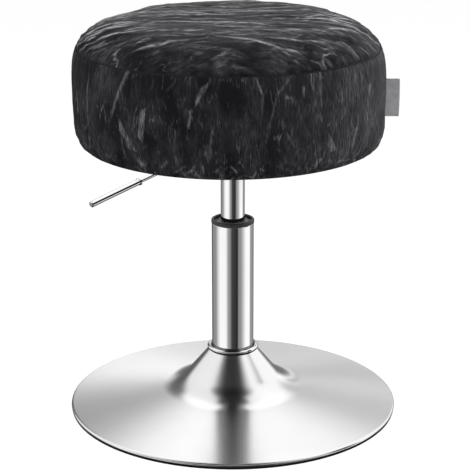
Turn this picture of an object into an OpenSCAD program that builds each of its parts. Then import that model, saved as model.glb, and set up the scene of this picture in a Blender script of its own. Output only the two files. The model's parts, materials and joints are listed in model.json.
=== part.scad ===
// Round swivel vanity stool on a gas lift column and a trumpet base.
// Millimetres, +Z up. The origin is on the floor, under the column's axis.
// The seat is drawn at the height at which the stool is pictured.

/* [Trumpet base] */
// Diameter over the base's rolled rim
base_d = 385; // [350:1:410]
// Height of the shoulder that the column stands in
base_h = 70; // [64:0.5:76]
// Thickness of the spun sheet
base_wall = 1.5; // [1:0.1:2.2]
// Slope of the neck, in degrees from level
neck_slope = 51.3; // [46:0.1:56]
// Slope of the skirt, in degrees from level
skirt_slope = 8.5; // [6.5:0.1:9.5]
// Radius of the sweep between neck and skirt
sweep_r = 52; // [40:1:58]
// How far the neck's shoulder reaches beyond the column
shoulder_w = 4; // [3.4:0.1:5]
// Radius of the rolled rim
rim_r = 2.6; // [2:0.1:3.2]
// Rubber left between the rolled rim and the floor
rubber_under = 1.2; // [0.8:0.1:2]
// Height of the rubber floor ring
rubber_h = 2.6; // [2:0.1:3]
// Width of the rubber floor ring
rubber_w = 8; // [7:0.5:12]
// Thickness of the trim ring round the column's foot
trim_h = 5.2; // [4:0.1:6]

/* [Column] */
// Outer diameter of the column tube
column_d = 49; // [47:0.5:50]
// Wall of the column tube
column_wall = 1.5; // [1:0.1:2]
// Height of the column tube's top edge
column_top = 223.8; // [218:0.2:226]
// Height of the column tube's lower edge
column_bottom = 12; // [10:0.5:14]
// Outer diameter of the column at the end of its taper
taper_d = 47.6; // [46.6:0.1:48.4]
// Length of the column's taper
taper_l = 50; // [40:1:54]
// Wall of the hub sleeve that holds the taper
hub_wall = 2.5; // [2:0.1:3]
// Thickness of the webs that brace the hub sleeve
gusset_t = 2.5; // [1.5:0.1:4]
// Reach of the webs from the axis
gusset_reach = 96; // [80:1:110]
// Number of webs
gusset_count = 4; // [3:1:4]
// Diameter of the collar cap
collar_d = 50; // [49.8:0.1:52]
// Height of the collar cap above the tube
collar_h = 5.4; // [4:0.1:6]
// Width of the collar cap's top
collar_w = 3.3; // [2.8:0.1:3.6]
// Length of the guide bush
bush_l = 50; // [40:1:60]

/* [Gas lift] */
// Outer diameter of the gas lift's tube
gas_d = 28; // [27:0.1:28.6]
// Wall of the gas lift's tube
gas_wall = 1.5; // [1.2:0.1:1.7]
// How far the seat can go down from the pictured height
lowering = 48; // [40:1:49]
// How far the seat can go up from the pictured height
raising = 72; // [60:1:80]
// Diameter of the piston rod
rod_d = 10; // [9:0.1:11]
// Diameter of the piston rod's foot, below its shoulder
rod_foot_d = 8; // [7:0.1:8.4]
// Length of the piston
piston_l = 12; // [10:0.5:14]
// Length of the rod guide
guide_l = 15; // [12:0.5:18]
// Length of the rod seal
seal_l = 4.5; // [3:0.1:6]
// Length of the valve body
valve_l = 42.5; // [36:0.5:46]
// Length of the taper at the top of the gas lift's tube
gas_taper_l = 24; // [23:0.5:26]
// Diameter that the tube's taper loses
gas_taper_loss = 1.2; // [0.8:0.1:1.4]
// Diameter of the release pin
pin_d = 6; // [5:0.1:7]
// How far the release pin stands out of the tube
pin_stand = 4.5; // [4:0.1:5]
// Height of the rubber buffer
buffer_h = 9.4; // [7:0.1:10]
// Diameter of the thrust bearing
bearing_d = 30; // [28:0.5:34]
// Diameter of the bearing's balls
ball_d = 3.5; // [3:0.1:4]
// Number of balls
ball_count = 10; // [8:1:12]

/* [Seat mechanism] */
// Diameter of the pressed seat plate
plate_d = 160; // [152:1:166]
// Thickness of the seat plate
plate_t = 2.5; // [2:0.1:2.8]
// Depth of the plate's pan
pan_depth = 30; // [28:0.5:31]
// Diameter of the pan at its mouth
pan_d = 106; // [100:1:110]
// Diameter of the pan's floor
pan_floor_d = 88; // [86:1:94]
// Length of the taper socket
socket_l = 22; // [18:0.5:23.5]
// Wall of the taper socket
socket_wall = 3; // [2.5:0.1:3.5]
// Diameter of the bolt circle
bolt_circle_d = 136; // [130:1:142]
// Diameter of the bolts
bolt_d = 6; // [5:0.5:6.5]

/* [Lever] */
// Direction of the lever, in degrees from +X
lever_turn = 225; // [215:1:235]
// Distance of the lever's tip from the column's axis
lever_reach = 213.8; // [200:0.2:225]
// Distance of the lever's axis under the seat
lever_under = 9.5; // [9:0.1:9.8]
// Distance of the lever's bend from the column's axis
bend_at = 95; // [88:1:100]
// Slope of the lever's outer part, in degrees
lever_drop = 9.7; // [8:0.1:12]
// Diameter of the lever's rod
lever_d = 5; // [4:0.1:5.4]
// Diameter of the lever's sleeve
sleeve_d = 7; // [6.6:0.1:8]
// Length of the lever's sleeve
sleeve_l = 67.4; // [55:0.2:72]
// Distance of the lever's pivot from the column's axis
pivot_at = 30; // [28.5:0.5:32]

/* [Seat] */
// Height of the seat's underside above the floor
seat_under = 320; // [316:0.5:330]
// Height of the seat from its underside to its crown
seat_h = 144; // [125:1:160]
// Diameter of the seat where it is widest
seat_d = 355.2; // [335:0.2:365]
// Width of the seat's rounded lower corner
corner_w = 23.6; // [20:0.1:28]
// How far the top seam lies in from the seat's widest place
seam_in = 5.3; // [3:0.1:9]
// Thickness of the cover
cover_t = 1.2; // [0.8:0.1:2]
// Thickness of the wadding under the cover
wadding_t = 3; // [2:0.5:5]
// Room between the seat board's edge and the seat's side above it
board_room = 6.6; // [5:0.1:9]
// Thickness of the seat board
board_t = 15; // [14:0.5:18]
// How far the dust cover's edge lies in from the seat's rounded corner
dust_in = 6; // [3:0.5:9]
// Width of the hem under the dust cover
hem_w = 13; // [9:0.5:20]
// Thickness of the dust cover
dust_t = 0.8; // [0.6:0.1:1]
// Height of the side tag
tag_h = 44; // [36:1:50]
// How far the side tag stands out
tag_w = 12.5; // [8:0.5:14]

/* [Hidden] */
$fn = 96;

// One overrun for all cuts
over = 1;
// Clearance round pieces that are pressed or welded together
fit = 0.05;
// Clearance of pieces that slide or turn in each other
run = 0.06;
// Clearance under a piece that turns on a washer
turn_gap = 0.1;

// Trumpet base: rim, skirt, sweep and neck
base_r = base_d / 2;
column_r = column_d / 2;
neck_r = column_r + shoulder_w;
rim_x = base_r - rim_r;
rim_z = rubber_under + rim_r;
// How far the rolled rim stands proud of the skirt
rim_proud = 0.12;
// Clearance of the rolled rim in the rubber ring's groove
groove_fit = 0.2;
// Where the skirt's straight line meets the rolled rim
skirt_x = rim_x + (rim_r - rim_proud) * sin(skirt_slope);
skirt_z = rim_z + (rim_r - rim_proud) * cos(skirt_slope);
// Where the neck's and the skirt's lines would cross
cross_x = (base_h + neck_r * tan(neck_slope) - skirt_z - skirt_x * tan(skirt_slope))
    / (tan(neck_slope) - tan(skirt_slope));
cross_z = skirt_z + (skirt_x - cross_x) * tan(skirt_slope);
sweep_turn = neck_slope - skirt_slope;
sweep_tangent = sweep_r * tan(sweep_turn / 2);
// Centre of the sweep's arc, above the surface
sweep_x = cross_x - sweep_tangent * cos(neck_slope) + sweep_r * sin(neck_slope);
sweep_z = cross_z + sweep_tangent * sin(neck_slope) + sweep_r * cos(neck_slope);
sweep_steps = 14;

// Points of the sweep's arc, grown by a wall thickness for the inner face
function sweep_arc(grow) = [for (i = [0:sweep_steps])
    let (a = neck_slope - sweep_turn * i / sweep_steps)
    [sweep_x - (sweep_r + grow) * sin(a), sweep_z - (sweep_r + grow) * cos(a)]];

// Height of the shell's inner face over the skirt, at radius x
function skirt_inside(x) = skirt_z + (skirt_x - x) * tan(skirt_slope) - base_wall / cos(skirt_slope);
// The inner face of the neck meets the shoulder's underside here
shoulder_z = base_h - base_wall;
inner_neck_x = neck_r - base_wall / sin(neck_slope) + base_wall / tan(neck_slope);
column_gap = 0.3;
column_hole_r = column_r + column_gap;

// Column, hub and foot
taper_r = taper_d / 2;
taper_top = column_bottom + taper_l;
hub_r = column_r + hub_wall;
gusset_gap = 0.3;
foot_recess = 3;
foot_t = 3;
foot_z = column_bottom + foot_recess;
foot_top = foot_z + foot_t;
trim_r = trim_h / 2;
trim_x = column_r + trim_r + column_gap;
// Radius of the inside of the column's taper at height z
function taper_inside(z) = taper_r - column_wall + (column_r - taper_r) * (z - column_bottom) / taper_l;

// Thrust bearing, from the foot plate up
race_t = 1.5;
race_gap = 0.5;
ball_r = ball_d / 2;
ball_ring_r = (bearing_d / 2 + rod_d / 2) / 2 + ball_r / 4;
lower_race_top = foot_top + race_t;
ball_z = lower_race_top + ball_r;
upper_race_z = ball_z + ball_r + fit;
upper_race_top = upper_race_z + race_t;
buffer_top = upper_race_top + buffer_h;
cage_t = ball_r * 0.85;
cage_rim = ball_r;

// Clip and washer under the foot plate
clip_t = 1.2;
clip_groove = 0.8;
washer_t = 1.5;
clip_washer_z = foot_z - turn_gap - washer_t;
clip_z = clip_washer_z - clip_t;
rod_foot_z = clip_z - 3 * clip_t;
clip_r = rod_foot_d;

// Seat: heights and outline
board_z = seat_under + cover_t;
board_top = board_z + board_t;
plate_top = board_z - dust_t;
plate_z = plate_top - plate_t;
seat_top = seat_under + seat_h;
seat_r = seat_d / 2;
under_r = seat_r - corner_w;
seam_r = seat_r - seam_in;
dust_r = under_r - dust_in;
hem_r = dust_r - hem_w;
widest_share = 0.5326;
seam_share = 0.7924;
widest_z = seat_under + seat_h * widest_share;
seam_z = seat_under + seat_h * seam_share;
corner_power = 3.55;
crown_power = 7.7;
corner_steps = 12;
side_steps = 5;
crown_steps = 12;

corner_points = [for (i = [0:corner_steps])
    let (a = 90 * i / corner_steps)
    [under_r + (seat_r - under_r) * pow(sin(a), 2 / corner_power),
     widest_z - (widest_z - seat_under) * pow(cos(a), 2 / corner_power)]];
side_points = [for (i = [1:side_steps])
    let (u = i / side_steps)
    [seat_r - (seat_r - seam_r) * u * u, widest_z + (seam_z - widest_z) * u]];
crown_points = [for (i = [1:crown_steps])
    let (x = seam_r * cos(90 * i / crown_steps))
    [i == crown_steps ? 0 : x, seam_z + (seat_top - seam_z) * (1 - pow(x / seam_r, crown_power))]];
seat_points = concat([[hem_r, seat_under]], corner_points, side_points, crown_points);
seam_index = 1 + corner_steps + side_steps;
seat_last = len(seat_points) - 1;

// The seat's outline moved inwards by d, at point i
function before(i) = i > 0 ? seat_points[i - 1] : [0, seat_under];
function after(i) = i < seat_last ? seat_points[i + 1] : [-seat_points[i - 1].x, seat_points[i - 1].y];
function inward(i) =
    let (v = after(i) - before(i), n = norm(v))
    [-v.y / n, v.x / n];
function seat_inset(d, first, last) = [for (i = [first:last]) seat_points[i] + d * inward(i)];
function backwards(points) = [for (i = [len(points) - 1:-1:0]) points[i]];
// A closed outline of all that lies within d of the cover's outer face
function seat_core(d) = concat([[0, seat_under + d]], seat_inset(d, 0, seat_last));
// Radius of the seat's side at a height below its widest place
function side_r(z) = under_r + (seat_r - under_r)
    * pow(1 - pow((widest_z - z) / (widest_z - seat_under), corner_power), 1 / corner_power);
board_r = side_r(board_z + cover_t) - board_room;
// How much the board's lower edge is eased where the cover turns under it
board_ease = 1;

// Lever, pivot and release pin, from the lever's axis down
lever_z = seat_under - lever_under;
lever_r = lever_d / 2;
sleeve_r = sleeve_d / 2;
paddle_t = 2.4;
paddle_w = 10;
paddle_past = 7;
paddle_gap = 0.3;
pin_r = pin_d / 2;
pin_top = lever_z - paddle_t / 2 - paddle_gap;
pin_dome_r = pin_d;
pin_l = 22;
bend_r = 2 * lever_d;
bend_tangent = bend_r * tan(lever_drop / 2);
// The bend is pressed a little fatter than the rod
bend_swell = 0.12;
lever_slant = (lever_reach - bend_at) / cos(lever_drop);
cap_t = 1.8;
sleeve_end = lever_slant - cap_t;
sleeve_start = sleeve_end - sleeve_l;
bead_l = 3;
bead_proud = 0.9;
bead_r = sleeve_r + bead_proud;
pivot_r = 2.5;
barrel_r = 4.5;
barrel_l = 8;
ear_t = 2.5;
ear_w = 12;
ear_gap = 0.3;
ear_top = lever_z + ear_w / 2;
ear_y = barrel_l / 2 + ear_gap;
pivot_head_r = 4.2;
pivot_head_t = 1.6;
pivot_clip_r = 5;
pivot_clip_t = 0.8;
pivot_groove = 0.7;

// Gas lift, from its top down
gas_r = gas_d / 2;
rod_r = rod_d / 2;
rod_foot_r = rod_foot_d / 2;
gas_in = gas_r - gas_wall;
gas_top = pin_top - pin_stand;
gas_taper_z = gas_top - gas_taper_l;
gas_lip = 1.5;
gas_lip_w = 3.5;
buffer_gap = 1;
gas_bottom = buffer_top + lowering + buffer_gap;
guide_z = gas_bottom + gas_lip;
seal_z = guide_z + guide_l;
inner_z = seal_z + seal_l;
inner_wall = 1;
annulus = 1;
inner_r = gas_in - annulus;
bore_r = inner_r - inner_wall;
piston_margin = 2;
piston_z = inner_z + raising + piston_margin;
piston_top = piston_z + piston_l;
piston_gap = 0.1;
piston_spigot_r = 0.6 * rod_r;
piston_ring_l = piston_l / 4;
piston_ring_deep = 1.6;
rivet_h = 1.5;
rivet_r = 0.88 * rod_r;
valve_z = gas_top - valve_l;
valve_spigot = 6;
valve_seal_r = 1.15;
valve_seal_z = gas_taper_z - 3 * valve_seal_r;
// Radius of the gas lift's tube at height z within its taper
function gas_taper(z) = gas_r - gas_taper_loss / 2 * (z - gas_taper_z) / gas_taper_l;

// Taper socket and seat plate
socket_below = 0.5;
socket_top = gas_top - socket_below;
socket_z = socket_top - socket_l;
socket_r = gas_r + socket_wall;
plate_r = plate_d / 2;
pan_z = plate_top - pan_depth;
pan_r = pan_d / 2;
pan_floor_r = pan_floor_d / 2;
pan_bevel = 3;
slot_w = 9;
slot_room = 1.2;
slot_rise = 2.8;

// Guide bush and collar cap
tube_in = column_r - column_wall;
bush_r = tube_in - fit;
collar_r = collar_d / 2;
collar_in = collar_r - collar_w;
collar_top = column_top + collar_h;
collar_edge = 1.3;
spigot_deep = 4;
bush_neck_r = collar_in - fit;
bush_top = column_top + 0.4 * collar_h;
bush_z = bush_top - bush_l;
notch_count = 6;
notch_w = 4;
notch_deep = 2;

// Bolts, washers and tee nuts, clear of the lever's slot
bolt_count = 4;
bolt_r = bolt_d / 2;
bolt_hole_r = bolt_r * 1.1;
flat_washer_t = 1.5;
flat_washer_r = bolt_d;
spring_washer_t = 1.8;
spring_washer_r = bolt_r * 1.75;
bolt_head_t = 4.5;
bolt_head_r = bolt_r * 1.9;
bolt_head_z = plate_z - flat_washer_t - spring_washer_t;
nut_flange_t = 1.4;
nut_flange_r = bolt_d * 1.6;
nut_r = bolt_r * 1.3;
nut_l = 11;
bolt_end = board_top - nut_flange_t - bolt_r;

// Seam thread and side tag
thread_r = 0.5;
tag_t = 1.1;
tag_layer = 0.4;
tag_below = 2;
tag_top = widest_z - tag_below;
tag_steps = 4;
tag_gap = 0.15;

steel = [0.78, 0.79, 0.8];
chrome = [0.86, 0.87, 0.88];
zinc = [0.7, 0.7, 0.68];
rubber = [0.08, 0.08, 0.08];
dark_plastic = [0.23, 0.23, 0.24];
grey_plastic = [0.62, 0.62, 0.62];
velvet = [0.13, 0.13, 0.15];

// A ring with flat ends, from radius a to radius b, between two heights
module ring(a, b, low, high) {
    translate([0, 0, low])
        difference() {
            cylinder(r = b, h = high - low);
            translate([0, 0, -over])
                cylinder(r = a, h = high - low + 2 * over);
        }
}

// An open clip: a ring with a slot that lets it snap into a groove
module open_clip(groove_r, r, t) {
    difference() {
        cylinder(r = r, h = t);
        translate([0, 0, -over])
            cylinder(r = groove_r, h = t + 2 * over);
        translate([0, -groove_r * 0.8, -over])
            cube([r + over, groove_r * 1.6, t + 2 * over]);
    }
}

// Places its children in the lever's own frame, with +X along the lever
module at_lever() {
    rotate([0, 0, lever_turn])
        children();
}

// Places its children on the lever's sloping part, with +Z along it from the bend
module on_slant(s) {
    at_lever()
        translate([bend_at, 0, lever_z])
            rotate([0, 90 + lever_drop, 0])
                translate([0, 0, s])
                    children();
}

// Places copies of its children on the bolt circle
module at_bolts() {
    for (i = [0:bolt_count - 1])
        rotate([0, 0, 360 * i / bolt_count])
            translate([bolt_circle_d / 2, 0, 0])
                children();
}

// Spun trumpet shell: shoulder, neck, sweep and skirt in one sheet, with a rolled rim
module base_shell() {
    color(chrome)
        union() {
            rotate_extrude()
                polygon(concat(
                    [[column_hole_r, base_h], [neck_r, base_h]],
                    sweep_arc(0),
                    [[skirt_x, skirt_z], [rim_x, skirt_inside(rim_x)]],
                    backwards(sweep_arc(base_wall)),
                    [[inner_neck_x, shoulder_z], [column_hole_r, shoulder_z]]));
            rotate_extrude()
                translate([rim_x, rim_z])
                    circle(r = rim_r);
        }
}

// Rubber ring that the rolled rim sits in
module floor_ring() {
    color(rubber)
        rotate_extrude()
            difference() {
                polygon([
                    [base_r - rubber_w, 0],
                    [base_r - rim_r / 4, 0],
                    [base_r - rim_r / 8, rubber_under],
                    [base_r - rim_r / 8, rubber_h],
                    [base_r - rubber_w, rubber_h]]);
                translate([rim_x, rim_z])
                    circle(r = rim_r + groove_fit);
            }
}

// Sleeve under the neck, whose tapered bore grips the column
module hub_sleeve() {
    color(steel)
        rotate_extrude()
            polygon([
                [taper_r + fit, column_bottom],
                [hub_r, column_bottom],
                [hub_r, shoulder_z],
                [column_r + fit, shoulder_z],
                [column_r + fit, taper_top]]);
}

// Upright webs between the hub sleeve and the underside of the shell
module hub_gussets() {
    inner_arc = [for (p = sweep_arc(base_wall + gusset_gap)) if (p.x > hub_r && p.x < gusset_reach) p];
    color(steel)
        for (i = [0:gusset_count - 1])
            rotate([90, 0, 180 / gusset_count + 360 * i / gusset_count])
                translate([0, 0, -gusset_t / 2])
                    linear_extrude(height = gusset_t)
                        polygon(concat(
                            [[hub_r, column_bottom], [hub_r, inner_arc[0].y]],
                            inner_arc,
                            [[gusset_reach, skirt_inside(gusset_reach) - gusset_gap],
                             [gusset_reach, column_bottom]]));
}

// Half-round ring that hides the gap between the neck and the column
module trim_ring() {
    color(chrome)
        rotate_extrude()
            intersection() {
                translate([trim_x, base_h + 0.9 * trim_r])
                    circle(r = trim_r);
                translate([trim_x - trim_h, base_h])
                    square([2 * trim_h, 2 * trim_h]);
            }
}

// Column tube, tapered at its foot
module column_tube() {
    color(chrome)
        rotate_extrude()
            polygon([
                [taper_r - column_wall, column_bottom],
                [taper_r, column_bottom],
                [column_r, taper_top],
                [column_r, column_top],
                [tube_in, column_top],
                [tube_in, taper_top]]);
}

// Plate welded across the column's foot, which carries the thrust bearing
module foot_plate() {
    color(steel)
        difference() {
            translate([0, 0, foot_z])
                cylinder(r1 = taper_inside(foot_z) - fit, r2 = taper_inside(foot_top) - fit, h = foot_t);
            translate([0, 0, foot_z - over])
                cylinder(r = rod_foot_r + run, h = foot_t + 2 * over);
        }
}

// Lower race of the thrust bearing
module lower_race() {
    color(steel)
        ring(rod_foot_r + race_gap, bearing_d / 2, foot_top, lower_race_top);
}

// Cage with a pocket for each ball
module ball_cage() {
    color("goldenrod")
        difference() {
            ring(ball_ring_r - ball_r - cage_rim, ball_ring_r + ball_r + cage_rim,
                ball_z - cage_t / 2, ball_z + cage_t / 2);
            for (i = [0:ball_count - 1])
                rotate([0, 0, 360 * i / ball_count])
                    translate([ball_ring_r, 0, ball_z - cage_t / 2 - over])
                        cylinder(r = ball_r + turn_gap, h = cage_t + 2 * over);
        }
}

// Balls of the thrust bearing
module bearing_balls() {
    color(steel)
        for (i = [0:ball_count - 1])
            rotate([0, 0, 360 * i / ball_count])
                translate([ball_ring_r, 0, ball_z])
                    sphere(r = ball_r);
}

// Moulded bush in the column's top, which guides the gas lift
module guide_bush() {
    color(grey_plastic)
        difference() {
            rotate_extrude()
                polygon([
                    [gas_r + run, bush_z],
                    [bush_r, bush_z],
                    [bush_r, column_top - spigot_deep],
                    [bush_neck_r, column_top - spigot_deep],
                    [bush_neck_r, bush_top],
                    [gas_r + run, bush_top]]);
            for (i = [0:notch_count - 1])
                rotate([0, 0, 360 * (i + 0.5) / notch_count])
                    translate([bush_neck_r - notch_deep, -notch_w / 2, bush_top - notch_deep])
                        cube([notch_deep + over, notch_w, notch_deep + over]);
        }
}

// Collar cap on the column's top edge, with a spigot inside the tube
module collar_cap() {
    color(dark_plastic)
        rotate_extrude()
            union() {
                polygon([
                    [collar_in, column_top - spigot_deep + fit],
                    [bush_r, column_top - spigot_deep + fit],
                    [bush_r, column_top],
                    [collar_r - collar_edge / 2, column_top],
                    [collar_r, column_top + collar_edge / 2],
                    [collar_r, collar_top - collar_edge],
                    [collar_r - collar_edge, collar_top],
                    [collar_in + collar_edge / 2, collar_top],
                    [collar_in, collar_top - collar_edge / 2]]);
                translate([collar_r - collar_edge, collar_top - collar_edge])
                    circle(r = collar_edge);
            }
}

// Upper race of the thrust bearing, which turns with the rod
module upper_race() {
    color(steel)
        ring(rod_foot_r + fit, bearing_d / 2, upper_race_z, upper_race_top);
}

// Barrel-shaped rubber buffer that stops the gas lift at its lowest
module rubber_buffer() {
    color(rubber)
        rotate_extrude()
            polygon([
                [rod_r + fit, upper_race_top],
                [bearing_d / 2 - buffer_h / 6, upper_race_top],
                [bearing_d / 2, upper_race_top + buffer_h / 3],
                [bearing_d / 2, upper_race_top + buffer_h * 2 / 3],
                [bearing_d / 2 - buffer_h / 6, buffer_top],
                [rod_r + fit, buffer_top]]);
}

// Piston rod: foot with a clip groove, shoulder, shank and riveted top
module piston_rod() {
    color(chrome)
        rotate_extrude()
            polygon([
                [0, rod_foot_z],
                [rod_foot_r - clip_groove, rod_foot_z],
                [rod_foot_r, rod_foot_z + clip_groove],
                [rod_foot_r, clip_z],
                [rod_foot_r - clip_groove, clip_z],
                [rod_foot_r - clip_groove, clip_z + clip_t],
                [rod_foot_r, clip_z + clip_t],
                [rod_foot_r, upper_race_top],
                [rod_r, upper_race_top],
                [rod_r, piston_z],
                [piston_spigot_r, piston_z],
                [piston_spigot_r, piston_top],
                [rivet_r, piston_top],
                [rivet_r - rivet_h / 2, piston_top + rivet_h],
                [0, piston_top + rivet_h]]);
}

// Washer between the foot plate and the clip
module clip_washer() {
    color(zinc)
        ring(rod_foot_r + fit, clip_r + washer_t, clip_washer_z, clip_washer_z + washer_t);
}

// Clip that keeps the rod in the column's foot
module rod_clip() {
    color(zinc)
        translate([0, 0, clip_z])
            open_clip(rod_foot_r - clip_groove + fit, clip_r, clip_t);
}

// Piston with a groove for its ring
module piston() {
    color(steel)
        difference() {
            ring(piston_spigot_r + fit, bore_r - piston_gap, piston_z, piston_top);
            ring(bore_r - piston_ring_deep, bore_r + over,
                piston_z + piston_ring_l, piston_z + 2 * piston_ring_l);
        }
}

// Ring that seals the piston in the inner cylinder
module piston_ring() {
    color(rubber)
        ring(bore_r - piston_ring_deep + fit, bore_r - run / 2,
            piston_z + piston_ring_l + fit, piston_z + 2 * piston_ring_l - fit);
}

// Outer tube of the gas lift: rolled lip, straight wall and tapered top
module gas_tube() {
    color(chrome)
        rotate_extrude()
            polygon([
                [gas_r - gas_lip_w, gas_bottom],
                [gas_r - gas_lip / 3, gas_bottom],
                [gas_r, gas_bottom + gas_lip / 3],
                [gas_r, gas_taper_z],
                [gas_taper(gas_top), gas_top],
                [gas_taper(gas_top) - gas_lip_w - gas_wall, gas_top],
                [gas_taper(gas_top) - gas_lip_w - gas_wall, gas_top - gas_lip],
                [gas_taper(gas_top - gas_lip) - gas_wall, gas_top - gas_lip],
                [gas_in, gas_taper_z],
                [gas_in, guide_z],
                [gas_r - gas_lip_w, guide_z]]);
}

// Inner cylinder that the piston slides in
module inner_cylinder() {
    color(steel)
        ring(bore_r, inner_r, inner_z, valve_z + valve_spigot);
}

// Guide that closes the gas lift's lower end round the rod
module rod_guide() {
    color(zinc)
        ring(rod_r + run, gas_in - fit, guide_z, seal_z);
}

// Seal above the rod guide
module rod_seal() {
    color(rubber)
        ring(rod_r + run / 2, gas_in - fit, seal_z, inner_z);
}

// Valve body in the gas lift's top, bored for the release pin
module valve_body() {
    color("darkgoldenrod")
        rotate_extrude()
            difference() {
                polygon([
                    [pin_r + run, valve_z],
                    [bore_r - fit, valve_z],
                    [bore_r - fit, valve_z + valve_spigot],
                    [gas_in - fit, valve_z + valve_spigot],
                    [gas_in - fit, gas_taper_z],
                    [gas_taper(gas_top - gas_lip) - gas_wall - fit, gas_top - gas_lip],
                    [pin_r + run, gas_top - gas_lip]]);
                translate([gas_in - 2 * valve_seal_r, valve_seal_z - valve_seal_r - fit])
                    square([2 * valve_seal_r + over, 2 * (valve_seal_r + fit)]);
            }
}

// Ring that seals the valve body in the tube
module valve_seal() {
    color(rubber)
        rotate_extrude()
            translate([gas_in - valve_seal_r, valve_seal_z])
                circle(r = valve_seal_r - fit);
}

// Tapered socket that is welded in the seat plate's pan
module taper_socket() {
    color(steel)
        rotate_extrude()
            polygon([
                [gas_taper(socket_z) + fit, socket_z],
                [socket_r, socket_z],
                [socket_r, socket_top],
                [gas_taper(socket_top) + fit, socket_top]]);
}

// Pressed seat plate: a flange round a pan that holds the socket and the pivot
module seat_plate() {
    color([0.16, 0.16, 0.17])
        difference() {
            rotate_extrude()
                polygon([
                    [socket_r + fit, pan_z],
                    [pan_floor_r - pan_bevel, pan_z],
                    [pan_floor_r, pan_z + pan_bevel],
                    [pan_r, plate_z],
                    [plate_r, plate_z],
                    [plate_r, plate_top],
                    [pan_r - plate_t, plate_top],
                    [pan_floor_r - plate_t, pan_z + pan_bevel + plate_t],
                    [pan_floor_r - pan_bevel - plate_t, pan_z + plate_t],
                    [socket_r + fit, pan_z + plate_t]]);
            at_bolts()
                translate([0, 0, plate_z - over])
                    cylinder(r = bolt_hole_r, h = plate_t + 2 * over);
            at_lever()
                translate([pan_floor_r - 2 * pan_bevel, -slot_w / 2, lever_z - lever_r - slot_room])
                    cube([pan_r - pan_floor_r + 4 * pan_bevel, slot_w, lever_d + slot_room + slot_rise]);
        }
}

// Bracket with two ears that carry the lever's pivot
module pivot_bracket() {
    color(steel)
        at_lever()
            difference() {
                union() {
                    translate([pivot_at - ear_w / 2, -ear_y - ear_t, pan_z + plate_t])
                        cube([ear_w, 2 * (ear_y + ear_t), ear_t]);
                    for (side = [-1, 1])
                        translate([pivot_at, side * (ear_y + ear_t / 2) + ear_t / 2, 0])
                            rotate([90, 0, 0])
                                linear_extrude(height = ear_t)
                                    union() {
                                        translate([-ear_w / 2, pan_z + plate_t])
                                            square([ear_w, lever_z - pan_z - plate_t]);
                                        translate([0, lever_z])
                                            circle(r = ear_w / 2);
                                    }
                }
                translate([pivot_at, ear_y + ear_t + over, lever_z])
                    rotate([90, 0, 0])
                        cylinder(r = pivot_r + fit, h = 2 * (ear_y + ear_t + over));
            }
}

// Headed pin through the bracket's ears and the lever's barrel
module pivot_pin() {
    pin_end = ear_y + ear_t + fit;
    tail = pivot_clip_t + 2 * fit;
    color(zinc)
        at_lever()
            translate([pivot_at, 0, lever_z])
                rotate([-90, 0, 0])
                    rotate_extrude()
                        polygon([
                            [0, -pin_end - pivot_head_t],
                            [pivot_head_r, -pin_end - pivot_head_t],
                            [pivot_head_r, -pin_end],
                            [pivot_r, -pin_end],
                            [pivot_r, pin_end],
                            [pivot_r - pivot_groove, pin_end],
                            [pivot_r - pivot_groove, pin_end + tail],
                            [pivot_r, pin_end + tail],
                            [pivot_r, pin_end + tail + pivot_groove],
                            [0, pin_end + tail + pivot_groove]]);
}

// Clip in the pivot pin's groove
module pivot_clip() {
    color(zinc)
        at_lever()
            translate([pivot_at, ear_y + ear_t + 2 * fit, lever_z])
                rotate([-90, -90, 0])
                    open_clip(pivot_r - pivot_groove + fit, pivot_clip_r, pivot_clip_t);
}

// Hexagon bolts from under the plate
module plate_bolts() {
    color(zinc)
        at_bolts()
            union() {
                translate([0, 0, bolt_head_z - bolt_head_t])
                    cylinder(r = bolt_head_r, h = bolt_head_t, $fn = 6);
                translate([0, 0, bolt_head_z - bolt_head_t / 2])
                    cylinder(r = bolt_r, h = bolt_end - bolt_head_z + bolt_head_t / 2);
            }
}

// Flat washers under the plate
module flat_washers() {
    color(zinc)
        at_bolts()
            ring(bolt_hole_r, flat_washer_r, plate_z - flat_washer_t, plate_z);
}

// Split spring washers on the bolts' heads
module spring_washers() {
    color(steel)
        at_bolts()
            translate([0, 0, bolt_head_z])
                difference() {
                    ring(bolt_hole_r, spring_washer_r, 0, spring_washer_t);
                    translate([0, -spring_washer_t / 4, -over])
                        cube([spring_washer_r + over, spring_washer_t / 2, spring_washer_t + 2 * over]);
                }
}

// Tee nuts let into the board's top
module tee_nuts() {
    color(zinc)
        at_bolts()
            difference() {
                union() {
                    translate([0, 0, board_top - nut_flange_t])
                        cylinder(r = nut_flange_r, h = nut_flange_t);
                    translate([0, 0, board_top - nut_l])
                        cylinder(r = nut_r, h = nut_l - nut_flange_t / 2);
                }
                translate([0, 0, board_top - nut_l - over])
                    cylinder(r = bolt_r + fit, h = nut_l + 2 * over);
            }
}

// Plywood board that the seat is built on
module seat_board() {
    color("burlywood")
        difference() {
            rotate_extrude()
                polygon([
                    [0, board_z],
                    [under_r - board_ease, board_z],
                    [board_r, board_z + board_ease],
                    [board_r, board_top],
                    [0, board_top]]);
            at_bolts() {
                translate([0, 0, board_z - over])
                    cylinder(r = nut_r + fit, h = board_t + 2 * over);
                translate([0, 0, board_top - nut_flange_t])
                    cylinder(r = nut_flange_r + fit, h = nut_flange_t + over);
            }
        }
}

// Crowned foam pad on the board
module foam_pad() {
    color("khaki")
        rotate_extrude()
            intersection() {
                polygon(seat_core(cover_t + wadding_t));
                translate([0, board_top])
                    square([seat_r, seat_h]);
            }
}

// Foam strip round the board's edge
module foam_edge() {
    color("khaki")
        rotate_extrude()
            intersection() {
                polygon(seat_core(cover_t + wadding_t));
                translate([board_r, board_z])
                    square([seat_r - board_r, board_t]);
            }
}

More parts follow.
